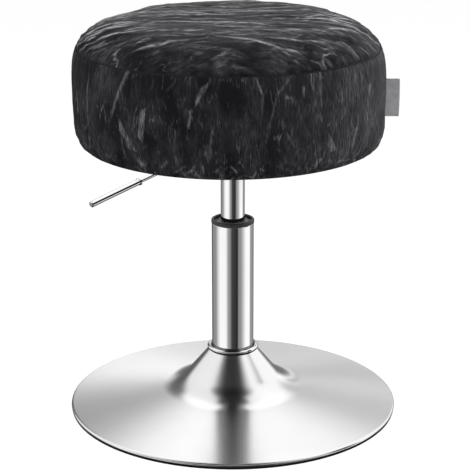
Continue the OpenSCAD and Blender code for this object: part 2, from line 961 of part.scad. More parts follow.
// Wadding between the foam and the cover
module wadding() {
    color("whitesmoke")
        rotate_extrude()
            difference() {
                polygon(seat_core(cover_t));
                polygon(seat_core(cover_t + wadding_t));
                translate([-over, board_z - over])
                    square([board_r + over, board_t + over]);
            }
}

// Crowned top panel of the cover
module cover_top() {
    color(velvet)
        rotate_extrude()
            polygon(concat(
                [for (i = [seam_index:seat_last]) seat_points[i]],
                backwards(seat_inset(cover_t, seam_index, seat_last))));
}

// Side band of the cover, turned under the board to its hem
module cover_band() {
    color(velvet)
        rotate_extrude()
            polygon(concat(
                [for (i = [0:seam_index]) seat_points[i]],
                backwards(seat_inset(cover_t, 0, seam_index))));
}

// Thread that lies in the seam between the top panel and the side band
module seam_thread() {
    color("black")
        rotate_extrude()
            translate([seam_r + thread_r + fit, seam_z + thread_r / 2])
                circle(r = thread_r);
}

// Cloth under the board, which covers the hem
module dust_cover() {
    step_r = hem_r - dust_t / 4;
    color([0.1, 0.1, 0.1])
        difference() {
            rotate_extrude()
                polygon([
                    [0, plate_top],
                    [step_r - dust_t, plate_top],
                    [step_r - dust_t, seat_under - dust_t],
                    [dust_r, seat_under - dust_t],
                    [dust_r, seat_under],
                    [step_r, seat_under],
                    [step_r, board_z],
                    [0, board_z]]);
            at_bolts()
                translate([0, 0, plate_top - over])
                    cylinder(r = bolt_hole_r, h = dust_t + 2 * over);
        }
}

// Ribbon tag: two layers folded at the outer end, sewn to the seat's side
module side_tag() {
    heights = [for (i = [0:tag_steps]) tag_top - tag_h + tag_h * i / tag_steps];
    color([0.5, 0.5, 0.52])
        rotate([90, 0, 0])
            difference() {
                translate([0, 0, -tag_t / 2])
                    linear_extrude(height = tag_t)
                        polygon(concat(
                            [for (z = heights) [side_r(z) + tag_gap, z]],
                            [[seat_r + tag_w, tag_top], [seat_r + tag_w, tag_top - tag_h]]));
                translate([under_r, tag_top - tag_h - over, tag_layer - tag_t / 2])
                    cube([seat_r - under_r + tag_w - tag_layer, tag_h + 2 * over, tag_t - 2 * tag_layer]);
            }
}

// Lever rod: flattened paddle, pivot barrel, level shank, bend and sloping shank
module lever_rod() {
    shank_start = pivot_at + barrel_r - lever_r / 2;
    color(chrome)
        difference() {
            union() {
                at_lever() {
                    translate([0, 0, lever_z - paddle_t / 2])
                        linear_extrude(height = paddle_t)
                            union() {
                                translate([-paddle_past + paddle_w / 2, 0])
                                    circle(r = paddle_w / 2);
                                translate([-paddle_past + paddle_w / 2, -barrel_l / 2])
                                    square([pivot_at + paddle_past - paddle_w / 2, barrel_l]);
                            }
                    translate([pivot_at, barrel_l / 2, lever_z])
                        rotate([90, 0, 0])
                            cylinder(r = barrel_r, h = barrel_l);
                    translate([shank_start, 0, lever_z])
                        rotate([0, 90, 0])
                            cylinder(r = lever_r, h = bend_at - shank_start);
                    translate([bend_at - bend_tangent, 0, lever_z - bend_r])
                        rotate([90, 0, 0])
                            rotate([0, 0, 90 - lever_drop])
                                rotate_extrude(angle = lever_drop)
                                    translate([bend_r, 0])
                                        circle(r = lever_r + bend_swell);
                }
                on_slant(0)
                    cylinder(r = lever_r, h = sleeve_end - cap_t);
            }
            at_lever()
                translate([pivot_at, barrel_l / 2 + over, lever_z])
                    rotate([90, 0, 0])
                        cylinder(r = pivot_r + run, h = barrel_l + 2 * over);
        }
}

// Chromed sleeve that the fingers lift
module lever_sleeve() {
    color(chrome)
        on_slant(0)
            ring(lever_r + fit, sleeve_r, sleeve_start, sleeve_end);
}

// Rounded bead at the sleeve's inner end
module sleeve_bead() {
    color(chrome)
        on_slant(sleeve_start - bead_l)
            rotate_extrude()
                polygon([
                    [lever_r + fit, 0],
                    [bead_r - bead_l / 4, 0],
                    [bead_r, bead_l / 4],
                    [bead_r, bead_l * 3 / 4],
                    [bead_r - bead_l / 4, bead_l],
                    [lever_r + fit, bead_l]]);
}

// Cap pushed into the sleeve's outer end
module lever_cap() {
    color(chrome)
        on_slant(sleeve_end)
            rotate_extrude()
                polygon([
                    [0, fit - cap_t],
                    [lever_r, fit - cap_t],
                    [lever_r, 0],
                    [sleeve_r, 0],
                    [sleeve_r, cap_t / 2],
                    [sleeve_r - cap_t / 2, cap_t],
                    [0, cap_t]]);
}

// Release pin, domed where the lever's paddle presses it
module release_pin() {
    color(steel)
        rotate_extrude()
            intersection() {
                translate([0, pin_top - pin_l])
                    square([pin_r, pin_l]);
                translate([0, pin_top - pin_dome_r])
                    union() {
                        circle(r = pin_dome_r);
                        translate([0, -pin_l])
                            square([pin_r, pin_l]);
                    }
            }
}

base_shell();
floor_ring();
hub_sleeve();
hub_gussets();
trim_ring();
column_tube();
foot_plate();
lower_race();
ball_cage();
bearing_balls();
guide_bush();
collar_cap();
upper_race();
rubber_buffer();
piston_rod();
clip_washer();
rod_clip();
piston();
piston_ring();
gas_tube();
inner_cylinder();
rod_guide();
rod_seal();
valve_body();
valve_seal();
taper_socket();
seat_plate();
pivot_bracket();
pivot_pin();
pivot_clip();
plate_bolts();
flat_washers();
spring_washers();
tee_nuts();
seat_board();
foam_pad();
foam_edge();
wadding();
cover_top();
cover_band();
seam_thread();
dust_cover();
side_tag();
lever_rod();
lever_sleeve();
sleeve_bead();
lever_cap();
release_pin();
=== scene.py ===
# The looks of a round swivel vanity stool: crushed velvet cushion, chromed column and
# spun trumpet base, set in a plain studio. Metres, +Z up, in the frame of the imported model.

import json
import math

import bpy
import numpy as np
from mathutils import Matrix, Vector


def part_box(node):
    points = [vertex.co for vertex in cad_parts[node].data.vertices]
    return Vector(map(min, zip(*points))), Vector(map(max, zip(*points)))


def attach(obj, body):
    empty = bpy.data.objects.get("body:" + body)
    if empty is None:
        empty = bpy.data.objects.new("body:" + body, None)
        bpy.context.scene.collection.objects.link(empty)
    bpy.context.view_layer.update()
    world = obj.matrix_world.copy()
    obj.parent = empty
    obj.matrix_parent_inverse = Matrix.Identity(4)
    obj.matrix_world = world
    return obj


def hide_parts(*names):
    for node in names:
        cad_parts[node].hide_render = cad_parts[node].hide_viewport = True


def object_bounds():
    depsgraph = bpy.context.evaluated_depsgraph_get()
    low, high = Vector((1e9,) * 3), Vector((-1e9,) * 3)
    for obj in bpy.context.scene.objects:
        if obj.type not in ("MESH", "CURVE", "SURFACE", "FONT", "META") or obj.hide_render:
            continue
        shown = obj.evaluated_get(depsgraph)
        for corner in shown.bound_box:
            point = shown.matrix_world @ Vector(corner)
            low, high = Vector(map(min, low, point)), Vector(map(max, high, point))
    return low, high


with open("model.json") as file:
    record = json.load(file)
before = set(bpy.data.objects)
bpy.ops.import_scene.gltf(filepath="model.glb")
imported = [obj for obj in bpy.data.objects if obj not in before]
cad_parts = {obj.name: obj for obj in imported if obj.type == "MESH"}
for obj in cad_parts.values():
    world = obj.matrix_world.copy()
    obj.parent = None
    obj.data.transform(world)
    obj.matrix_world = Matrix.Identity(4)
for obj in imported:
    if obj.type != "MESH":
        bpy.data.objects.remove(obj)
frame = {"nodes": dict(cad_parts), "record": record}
CAD_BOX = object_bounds()

bl_info = {
    "name": "Velvet Vanity Stool",
    "version": (1, 0, 0),
    "blender": (4, 5, 0),
    "location": "View3D > Sidebar > Stool",
    "description": "Dresses a swivel stool with velvet, chrome and its small trim",
    "category": "Object",
}

MM = 0.001

# Width in pixels of the picture that the focal length is given for
PHOTO_WIDTH = 470

# Lowest and highest corner of the model's pieces that others are placed by
SHELL_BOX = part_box("base_shell")
TRIM_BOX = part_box("trim_ring")
COLUMN_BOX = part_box("column_tube")
COLLAR_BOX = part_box("collar_cap")
GAS_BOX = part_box("gas_tube")
BAND_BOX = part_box("cover_band")
CROWN_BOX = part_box("cover_top")
DUST_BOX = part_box("dust_cover")
TAG_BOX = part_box("side_tag")


# The sizes and colours that a user would change


class StageSettings(bpy.types.PropertyGroup):
    """Camera, studio and floor."""

    camera_distance: bpy.props.FloatProperty(
        name="Camera distance", description="From the column's axis to the lens, level",
        default=1.90647, unit="LENGTH")
    camera_height: bpy.props.FloatProperty(
        name="Camera height", description="Height of the lens above the floor",
        default=0.80687, unit="LENGTH")
    camera_pitch: bpy.props.FloatProperty(
        name="Camera pitch", description="How far the camera looks down",
        default=math.radians(17.414), subtype="ANGLE")
    camera_right: bpy.props.FloatProperty(
        name="Camera offset", description="How far the lens stands right of the column's axis",
        default=0.0026, unit="LENGTH")
    focal_pixels: bpy.props.FloatProperty(
        name="Focal length in pixels", description="Focal length in widths of one pixel",
        default=1715.8)
    studio_strength: bpy.props.FloatProperty(
        name="Studio light", description="Strength of the studio that lights the stool",
        default=1.0)
    key_power: bpy.props.FloatProperty(
        name="Key lamp", description="Power of the soft lamp at the upper left", default=16.0,
        unit="POWER")
    fill_power: bpy.props.FloatProperty(
        name="Fill lamp", description="Power of the soft lamp at the right", default=24.0,
        unit="POWER")
    floor_size: bpy.props.FloatProperty(
        name="Floor width", description="Width of the plain floor", default=12.0, unit="LENGTH")


class CushionSettings(bpy.types.PropertyGroup):
    """Outline, folds and colours of the padded seat."""

    corner_width: bpy.props.FloatProperty(
        name="Corner width", description="Width of the rounded lower corner",
        default=23.6 * MM, unit="LENGTH")
    corner_power: bpy.props.FloatProperty(
        name="Corner fullness", description="Power of the lower corner's curve", default=3.55)
    crown_power: bpy.props.FloatProperty(
        name="Crown fullness", description="Power of the crown's curve", default=7.7)
    widest_share: bpy.props.FloatProperty(
        name="Widest place", description="Height of the widest place as a share of the seat's",
        default=0.5326, subtype="FACTOR")
    ring_spacing: bpy.props.FloatProperty(
        name="Mesh spacing", description="Distance between rings of the mesh",
        default=1.5 * MM, unit="LENGTH")
    sides: bpy.props.IntProperty(
        name="Mesh sides", description="Number of sides of each ring", default=800)
    shift: bpy.props.FloatProperty(
        name="Shift", description="How far the padding sits left of the column's axis",
        default=3.2 * MM, unit="LENGTH")
    lean: bpy.props.FloatProperty(
        name="Lean", description="How much further left the crown sits than the underside",
        default=1.8 * MM, unit="LENGTH")
    settled: bpy.props.FloatProperty(
        name="Settled padding", description="How far the crown has sunk on the left",
        default=3.6 * MM, unit="LENGTH")
    seam_depth: bpy.props.FloatProperty(
        name="Seam depth", description="How far the seam is drawn in", default=2.4 * MM,
        unit="LENGTH")
    swell_share: bpy.props.FloatProperty(
        name="Share of the swell", description="Share of the simulated swell that is kept",
        default=0.45)
    swell: bpy.props.FloatProperty(
        name="Swell", description="How far the cloth may move when it is filled",
        default=5 * MM, unit="LENGTH")
    # The velvet's own near-black colour, shown wherever no painted sheen lies
    velvet_dark: bpy.props.StringProperty(
        name="Velvet, pile down", description="Colour of the velvet in its creases",
        default="#18171b")
    # Grey of the sheen painted into the velvet's colour on fold edges, hairlines and pressed
    # patches
    velvet_painted_sheen: bpy.props.StringProperty(
        name="Velvet, pile up", description="Colour of the velvet on its ridges",
        default="#a6a5aa")
    thread: bpy.props.StringProperty(
        name="Thread", description="Colour of the stitching", default="#0b0b0d")


class MetalSettings(bpy.types.PropertyGroup):
    """Trumpet base, column and their colours."""

    neck_slope: bpy.props.FloatProperty(
        name="Neck slope", description="Slope of the base's neck from level",
        default=math.radians(51.3), subtype="ANGLE")
    skirt_slope: bpy.props.FloatProperty(
        name="Skirt slope", description="Slope of the base's skirt from level",
        default=math.radians(8.5), subtype="ANGLE")
    sweep_radius: bpy.props.FloatProperty(
        name="Sweep radius", description="Radius between neck and skirt",
        default=52 * MM, unit="LENGTH")
    sheet: bpy.props.FloatProperty(
        name="Sheet", description="Thickness of the spun sheet", default=1.5 * MM, unit="LENGTH")
    rim_radius: bpy.props.FloatProperty(
        name="Rim radius", description="Radius of the rolled rim", default=2.6 * MM,
        unit="LENGTH")
    shoulder: bpy.props.FloatProperty(
        name="Shoulder", description="How far the neck's top reaches beyond the column",
        default=4 * MM, unit="LENGTH")
    sides: bpy.props.IntProperty(
        name="Mesh sides", description="Number of sides of each turned piece", default=256)
    chrome: bpy.props.StringProperty(
        name="Chrome", description="Colour of the polished chrome", default="#f4f4f4")
    satin: bpy.props.StringProperty(
        name="Satin chrome", description="Colour of the spun base", default="#f6f6f6")


class TrimSettings(bpy.types.PropertyGroup):
    """Tag, lining and staples."""

    ribbon: bpy.props.StringProperty(
        name="Ribbon", description="Colour of the tag's ribbon", default="#7e7e81")
    ribbon_thickness: bpy.props.FloatProperty(
        name="Ribbon thickness", description="Thickness of one layer of ribbon",
        default=0.3 * MM, unit="LENGTH")
    lining: bpy.props.StringProperty(
        name="Lining", description="Colour of the cloth under the seat", default="#17171a")
    staple_count: bpy.props.IntProperty(
        name="Staples", description="Number of staples round the lining", default=48)
    staple_width: bpy.props.FloatProperty(
        name="Staple width", description="Width of a staple's crown", default=10 * MM,
        unit="LENGTH")


# Colours and nodes


# Settings of the nodes that are used most
COLOUR = {"data_type": "RGBA"}
ADD = {"operation": "ADD"}
SUBTRACT = {"operation": "SUBTRACT"}
MULTIPLY = {"operation": "MULTIPLY"}
MULTIPLY_ADD = {"operation": "MULTIPLY_ADD"}


def linear(hex_colour):
    """Turns an sRGB hex colour into linear red, green, blue and alpha."""
    channels = [int(hex_colour[i:i + 2], 16) / 255 for i in (1, 3, 5)]
    return [c / 12.92 if c <= 0.04045 else ((c + 0.055) / 1.055) ** 2.4 for c in channels] + [1.0]


def feed(tree, node, **inputs):
    """Sets or links inputs of a node, each named as its socket is, or by its number, as i0.

    An input is given as a value, as a socket, or as a node that stands for its first output
    in use.
    """
    for key, value in inputs.items():
        place = int(key[1:]) if key[0] == "i" and key[1:].isdigit() else key.replace("_", " ")
        if isinstance(value, bpy.types.Node):
            value = next(output for output in value.outputs if output.enabled)
        if isinstance(value, bpy.types.NodeSocket):
            tree.links.new(value, node.inputs[place])
        else:
            node.inputs[place].default_value = value


def add_node(tree, kind, settings=None, **inputs):
    """Adds a shader node of a kind with its settings and its inputs."""
    node = tree.nodes.new("ShaderNode" + kind)
    for key, value in (settings or {}).items():
        setattr(node, key, value)
    feed(tree, node, **inputs)
    return node


def new_material(name):
    """An empty material with its shader and output: the material, its tree and its shader."""
    material = bpy.data.materials.new(name)
    material.use_nodes = True
    tree = material.node_tree
    tree.nodes.clear()
    shader = add_node(tree, "BsdfPrincipled")
    add_node(tree, "OutputMaterial", Surface=shader)
    return material, tree, shader


def noise_over(tree, place, size, detail=3.0, stretch=(1, 1, 1), roughness=0.5):
    """Noise over coordinates in metres, whose features are about one size."""
    scaled = add_node(tree, "Mapping", Vector=place, Scale=stretch)
    return add_node(tree, "TexNoise", Vector=scaled, Scale=1 / size, Detail=detail,
                    Roughness=roughness)


def object_noise(tree, size, detail=3.0, stretch=(1, 1, 1)):
    """Noise over the piece's Object coordinates, whose features are about one size."""
    place = add_node(tree, "TexCoord").outputs["Object"]
    return noise_over(tree, place, size, detail, stretch)


# Finishes


# Hairline creases of the velvet: size of their pattern, depth, width as a share of the
# noise's range, and the strength of the highlight painted along them
HAIRLINES = [(11 * MM, 1.0 * MM, 0.022, 0.3), (4.5 * MM, 0.3 * MM, 0.03, 0.13)]

# Names of the finishes by material slot, filled when they are made
SLOT_MATERIALS = {}


def plain_metal(name, first, second, roughness, spread, grain, depth=0.0):
    """A bare or plated metal: colour and roughness vary a little over patches of one size."""
    material, tree, shader = new_material(name)
    patches = object_noise(tree, grain)
    feed(tree, shader, Metallic=1.0,
         Base_Color=add_node(tree, "Mix", COLOUR, i0=patches, i6=linear(first),
                             i7=linear(second)),
         Roughness=add_node(tree, "MapRange", i0=patches, i1=0.3, i2=0.7, i3=roughness,
                            i4=roughness + spread))
    if depth:
        feed(tree, shader, Normal=add_node(tree, "Bump", Height=patches, Distance=depth))
    return material


def polished_chrome(settings):
    """Bright chrome plate on polished steel tube: a mirror, with faint haze from handling."""
    material, tree, shader = new_material("polished_chrome_plate")
    haze = object_noise(tree, 30 * MM, 2.0)
    feed(tree, shader, Metallic=1.0,
         Base_Color=add_node(tree, "Mix", COLOUR, i0=haze, i6=linear(settings.chrome),
                             i7=linear("#ececec")),
         Roughness=add_node(tree, "MapRange", i0=haze, i1=0.4, i2=0.75, i3=0.035, i4=0.075))
    return material


def satin_chrome(settings):
    """Chrome plate on a spun disc: the spinning lines run round it, so highlights fan out."""
    material, tree, shader = new_material("satin_chrome_on_spun_steel")
    place = add_node(tree, "TexCoord").outputs["Object"]
    split = add_node(tree, "SeparateXYZ", Vector=place)
    flat = add_node(tree, "CombineXYZ", X=split.outputs["X"], Y=split.outputs["Y"])
    radius = add_node(tree, "VectorMath", {"operation": "LENGTH"}, Vector=flat)
    # Spinning lines about 0.8 mm apart, coarser than the real ones, so that they show
    lines = add_node(tree, "TexNoise", {"noise_dimensions": "1D"}, W=radius,
                     Scale=1 / (0.8 * MM), Detail=2.0)
    haze = object_noise(tree, 60 * MM, 2.0)
    feed(tree, shader, Metallic=1.0, Anisotropic=0.5, Anisotropic_Rotation=0.25,
         Base_Color=add_node(tree, "Mix", COLOUR, i0=haze, i6=linear(settings.satin),
                             i7=linear("#ececec")),
         Roughness=add_node(tree, "MapRange", i0=lines, i1=0.3, i2=0.7, i3=0.21, i4=0.24),
         Normal=add_node(tree, "Bump", Height=lines, Distance=0.0008 * MM),
         Tangent=add_node(tree, "Tangent", {"direction_type": "RADIAL", "axis": "Z"}))
    return material


def crushed_velvet(settings):
    """Black polyester velvet whose pile was crushed in all directions and heat set.

    It is near black where the pile lies towards the eye, and grey where a sheen is painted
    into its colour, under a faint real shine: on fold edges, on hairline creases and on
    pressed patches. Pile 1 mm, hairline creases 0.3 mm, folds 1 to 14 mm.
    """
    material, tree, shader = new_material("crushed_black_velvet")
    cloth = add_node(tree, "UVMap", {"uv_map": "cloth"})
    # Painted sheen written on the mesh: highlights on fold edges, and the band's pressed patches
    # and right side
    light, painted_pile_sheen = (add_node(tree, "Attribute", {"attribute_name": name}).outputs["Fac"]
                   for name in ("painted_fold_sheen", "painted_pile_sheen"))
    # The cloth's coordinates are bent a little, so that no hairline runs straight
    bend = noise_over(tree, cloth, 14 * MM, 4.0, roughness=0.6).outputs["Color"]
    centred = add_node(tree, "VectorMath", SUBTRACT, i0=bend, i1=(0.5, 0.5, 0.5))
    bent = add_node(tree, "VectorMath", MULTIPLY_ADD, i0=centred, i1=(5 * MM, 5 * MM, 0),
                    i2=cloth)
    height = 0.0
    # Hairlines follow the middle level of a noise, longer along the cloth's second way
    for size, depth, width, bright in HAIRLINES:
        middle = add_node(tree, "Math", SUBTRACT, i1=0.5,
                          i0=noise_over(tree, bent, size, 1.0, (1, 0.2, 1)))
        away = add_node(tree, "Math", {"operation": "ABSOLUTE"}, i0=middle)
        # A highlight is painted along each hairline, in patches where a coarser noise lets it
        # show
        shown = add_node(tree, "MapRange", i0=noise_over(tree, cloth, 3 * size, 2.0), i1=0.53,
                         i2=0.68, i3=0.0, i4=bright)
        line = add_node(tree, "MapRange", i0=away, i1=0.0, i2=width, i3=1.0, i4=0.0)
        line = add_node(tree, "Math", MULTIPLY, i0=line, i1=shown)
        light = add_node(tree, "Math", {"operation": "MAXIMUM"}, i0=light, i1=line)
        height = add_node(tree, "Math", MULTIPLY_ADD, i0=away, i1=-depth, i2=height)
    # Broad clouds in which the pile lies a little differently
    cloud = add_node(tree, "MapRange", i1=0.4, i2=0.7, i3=0.0, i4=0.06,
                     i0=noise_over(tree, bent, 22 * MM, 4.0, (1, 0.5, 1), 0.55))
    clouded = add_node(tree, "Math", ADD, i0=painted_pile_sheen, i1=cloud)
    light = add_node(tree, "Math", {"operation": "ADD", "use_clamp": True}, i0=light,
                     i1=clouded)
    # Locks of pile about 1 mm wide streak the folds lengthwise, and the pile grains them
    locks = noise_over(tree, bent, 1.3 * MM, 2.0, (1, 0.12, 1))
    pile = object_noise(tree, 0.9 * MM, 4.0)
    for grain, low, high, least, most, depth in ((locks, 0.36, 0.66, 0.25, 1.75, 0.35 * MM),
                                                 (pile, 0.3, 0.7, 0.65, 1.2, 0.12 * MM)):
        share = add_node(tree, "MapRange", i0=grain, i1=low, i2=high, i3=least, i4=most)
        light = add_node(tree, "Math", MULTIPLY, i0=light, i1=share)
        height = add_node(tree, "Math", MULTIPLY_ADD, i0=grain, i1=depth, i2=height)
    # The velvet's own near-black colour, lightened towards the painted sheen colour by all the
    # painted highlights
    feed(tree, shader,
         Base_Color=add_node(tree, "Mix", COLOUR, i0=light, i6=linear(settings.velvet_dark),
                             i7=linear(settings.velvet_painted_sheen)),
         Roughness=add_node(tree, "MapRange", i0=light, i1=0.0, i2=0.7, i3=0.5, i4=0.34),
         Specular_IOR_Level=add_node(tree, "MapRange", i0=light, i1=0.0, i2=0.5, i3=0.04,
                                     i4=0.6),
         Normal=add_node(tree, "Bump", Height=height, Distance=1.0),
         Sheen_Weight=0.01, Sheen_Roughness=0.3, Sheen_Tint=linear("#a4a4ac"))
    return material


def spun_thread(settings):
    """Twisted polyester thread: fine slanting plies with a dull shine."""
    material, tree, shader = new_material("twisted_black_thread")
    plies = object_noise(tree, 0.5 * MM, 2.0, (1, 1, 3))
    feed(tree, shader, Roughness=0.55,
         Base_Color=add_node(tree, "Mix", COLOUR, i0=plies, i6=linear(settings.thread),
                             i7=linear("#1d1d20")),
         Normal=add_node(tree, "Bump", Height=plies, Distance=0.1 * MM))
    return material


def satin_ribbon(settings):
    """Woven satin ribbon: fine crosswise ribs and a broad soft shine."""
    material, tree, shader = new_material("woven_satin_ribbon")
    place = add_node(tree, "TexCoord").outputs["Object"]
    # Weft ribs every 0.6 mm, coarser than the real 0.2 mm, so that they show
    ribs = add_node(tree, "TexWave", {"bands_direction": "Z"}, Vector=place, Distortion=0.4,
                    Scale=math.pi / 10 / (0.6 * MM), Detail=1.0).outputs["Fac"]
    mixed = add_node(tree, "Math", MULTIPLY_ADD, i0=ribs, i1=0.25,
                     i2=object_noise(tree, 6 * MM, 2.0))
    feed(tree, shader, Roughness=0.38, Sheen_Weight=0.3, Sheen_Roughness=0.4,
         Base_Color=add_node(tree, "Mix", COLOUR, i0=mixed, i6=linear(settings.ribbon),
                             i7=linear("#b4b4b7")),
         Normal=add_node(tree, "Bump", Height=ribs, Distance=0.05 * MM))
    return material


def lining_cloth(settings):
    """Spun-bonded polypropylene: pressed dots about 1.5 mm apart in a felt of fine fibres."""
    material, tree, shader = new_material("spun_bonded_lining")
    place = add_node(tree, "TexCoord").outputs["Object"]
    dots = add_node(tree, "TexVoronoi", {"feature": "F1"}, Vector=place, Scale=1 / (1.5 * MM),
                    Randomness=0.15).outputs["Distance"]
    fibres = object_noise(tree, 0.6 * MM, 4.0)
    height = add_node(tree, "Math", ADD, i0=dots, i1=fibres)
    feed(tree, shader, Roughness=0.9,
         Base_Color=add_node(tree, "Mix", COLOUR, i0=fibres, i6=linear(settings.lining),
                             i7=linear("#2b2b2e")),
         Normal=add_node(tree, "Bump", Height=height, Distance=0.12 * MM))
    return material


def moulded_plastic(name, dark, light, roughness, grain, depth, specks=0.0):
    """Injection-moulded plastic: a fine eroded texture from the mould, and paler specks."""
    material, tree, shader = new_material(name)
    texture = object_noise(tree, grain, 3.0)
    amount = add_node(tree, "MapRange", i0=texture, i1=0.5 - specks, i2=0.62, i3=0.0, i4=1.0)
    feed(tree, shader,
         Base_Color=add_node(tree, "Mix", COLOUR, i0=amount, i6=linear(dark),
                             i7=linear(light)),
         Roughness=add_node(tree, "MapRange", i0=texture, i1=0.3, i2=0.7, i3=roughness,
                            i4=roughness + 0.12),
         Normal=add_node(tree, "Bump", Height=texture, Distance=depth))
    return material


def powder_coat():
    """Black powder coat on pressed steel: a fine orange peel of 1 to 2 mm."""
    material, tree, shader = new_material("black_powder_coat")
    peel = object_noise(tree, 1.6 * MM, 2.0)
    dust = object_noise(tree, 25 * MM, 3.0)
    feed(tree, shader, Roughness=0.42,
         Base_Color=add_node(tree, "Mix", COLOUR, i0=dust, i6=linear("#141415"),
                             i7=linear("#212123")),
         Normal=add_node(tree, "Bump", Height=peel, Distance=0.06 * MM))
    return material


def plywood():
    """Raw poplar plywood: a pale face with long grain, plies 1.4 mm thick at the edge."""
    material, tree, shader = new_material("poplar_plywood")
    ply = 1.4 * MM
    place = add_node(tree, "TexCoord").outputs["Object"]
    grain = object_noise(tree, 12 * MM, 5.0, (0.08, 1, 1))
    split = add_node(tree, "SeparateXYZ", Vector=place)
    plies = add_node(tree, "Math", {"operation": "PINGPONG"}, i0=split.outputs["Z"], i1=ply)
    share = add_node(tree, "MapRange", i0=plies, i1=0.0, i2=ply, i3=0.0, i4=0.35)
    mixed = add_node(tree, "Math", ADD, i0=grain, i1=share)
    feed(tree, shader, Roughness=0.7,
         Base_Color=add_node(tree, "Mix", COLOUR, i0=mixed, i6=linear("#a27b4b"),
                             i7=linear("#d9bd8c")),
         Normal=add_node(tree, "Bump", Height=grain, Distance=0.1 * MM))
    return material


def open_foam():
    """Flexible polyurethane foam: pale, with open cells of about 1 mm."""
    material, tree, shader = new_material("polyurethane_foam")
    cells = object_noise(tree, 1.2 * MM, 3.0)
    feed(tree, shader, Roughness=0.95,
         Base_Color=add_node(tree, "Mix", COLOUR, i0=cells, i6=linear("#cdb878"),
                             i7=linear("#f0e4b4")),
         Normal=add_node(tree, "Bump", Height=cells, Distance=0.3 * MM))
    return material


def vulcanised_rubber():
    """Black rubber: matt, with a faint bloom."""
    material, tree, shader = new_material("black_rubber")
    bloom = object_noise(tree, 8 * MM, 3.0)
    feed(tree, shader, Specular_IOR_Level=0.2,
         Base_Color=add_node(tree, "Mix", COLOUR, i0=bloom, i6=linear("#050505"),
                             i7=linear("#0e0e0e")),
         Roughness=add_node(tree, "MapRange", i0=bloom, i1=0.3, i2=0.7, i3=0.6, i4=0.75),
         Normal=add_node(tree, "Bump", Height=object_noise(tree, 1 * MM, 2.0),
                         Distance=0.03 * MM))
    return material


def make_materials(scene):
    """All the finishes of the stool, by the name of the record's material slot."""
    metal, cushion, trim = scene.stool_metal, scene.stool_cushion, scene.stool_trim
    return {
        "chrome": polished_chrome(metal),
        "satin_chrome": satin_chrome(metal),
        "bare_steel": plain_metal("turned_steel", "#9b9c9e", "#b6b7b9", 0.25, 0.12, 2 * MM,
                                  0.01 * MM),
        "black_steel": powder_coat(),
        "zinc": plain_metal("zinc_plated_steel", "#a9adae", "#c6c9c8", 0.3, 0.15, 5 * MM),
        "brass": plain_metal("machined_brass", "#b8934f", "#cfae6b", 0.22, 0.1, 3 * MM),
        "rubber": vulcanised_rubber(),
        "dark_plastic": moulded_plastic("charcoal_moulded_plastic", "#323234", "#414143", 0.4,
                                        1.2 * MM, 0.03 * MM),
        # Partly the plastic's own light grey, and made paler still as painted light that makes up
        # for the shade under the seat
        "grey_plastic": moulded_plastic("speckled_grey_plastic", "#9c9c9a", "#f0f0ee", 0.5,
                                        1.5 * MM, 0.05 * MM, 0.08),
        "plywood": plywood(),
        "foam": open_foam(),
        "velvet": crushed_velvet(cushion),
        "lining": lining_cloth(trim),
        "thread": spun_thread(cushion),
        "ribbon": satin_ribbon(trim),
    }


def finish_piece(piece, body, slot, *nodes):
    """Gives a piece its finish, its body and the nodes that it stands for."""
    piece.data.materials.clear()
    piece.data.materials.append(bpy.data.materials[SLOT_MATERIALS[slot]])
    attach(piece, body)
    if nodes:
        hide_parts(*nodes)


# Modelling helpers


def only(piece):
    """Leaves one object selected and active, in object mode."""
    if bpy.context.object and bpy.context.object.mode != "OBJECT":
        bpy.ops.object.mode_set(mode="OBJECT")
    bpy.ops.object.select_all(action="DESELECT")
    piece.select_set(True)
    bpy.context.view_layer.objects.active = piece


def supported(points):
    """The points of an outline, with one more near both ends of each long straight run."""
    long_run, margin = 3 * MM, 0.4 * MM
    spread = [points[0]]
    for (r0, z0), (r1, z1) in zip(points, points[1:]):
        run = math.hypot(r1 - r0, z1 - z0)
        if run > long_run:
            for share in (margin / run, 1 - margin / run):
                spread.append((r0 + (r1 - r0) * share, z0 + (z1 - z0) * share))
        spread.append((r1, z1))
    return spread


def drawn_line(name, points, closed=False):
    """A mesh line through points, left in edit mode: a ring, cut open unless it is closed."""
    bpy.ops.object.select_all(action="DESELECT")
    bpy.ops.mesh.primitive_circle_add(vertices=len(points), fill_type="NOTHING")
    piece = bpy.context.object
    piece.name = name
    move_vertices(piece, np.array(points, float))
    # Only the edge that joins the ring's last point to its first spans more than one step
    for edge in piece.data.edges:
        edge.select = not closed and abs(edge.vertices[0] - edge.vertices[1]) > 1
    for vertex in piece.data.vertices:
        vertex.select = False
    bpy.ops.object.mode_set(mode="EDIT")
    bpy.ops.mesh.select_mode(type="EDGE")
    if not closed:
        bpy.ops.mesh.delete(type="EDGE")
    return piece


def turned(name, outline, sides, smooth_angle=40):
    """Turns an outline of (radius, height) points about the column's axis."""
    closed = outline[0] == outline[-1]
    outline = supported(outline)
    points = [(r, 0, z) for r, z in (outline[:-1] if closed else outline)]
    piece = drawn_line(name, points, closed)
    bpy.ops.object.mode_set(mode="OBJECT")
    lathe = piece.modifiers.new("Lathe", "SCREW")
    lathe.axis = "Z"
    lathe.angle = 2 * math.pi
    lathe.steps = sides
    lathe.render_steps = sides
    bpy.ops.object.modifier_apply(modifier=lathe.name)
    bpy.ops.object.mode_set(mode="EDIT")
    bpy.ops.mesh.select_all(action="SELECT")
    bpy.ops.mesh.remove_doubles(threshold=0.002 * MM)
    bpy.ops.mesh.normals_make_consistent(inside=False)
    bpy.ops.object.mode_set(mode="OBJECT")
    bpy.ops.object.shade_smooth_by_angle(angle=math.radians(smooth_angle))
    return piece


def arc(centre, radius, start, end, steps):
    """Points of an arc about a centre, from one angle in degrees to another."""
    angles = [math.radians(start + (end - start) * i / steps) for i in range(steps + 1)]
    return [(centre[0] + radius * math.cos(a), centre[1] + radius * math.sin(a)) for a in angles]


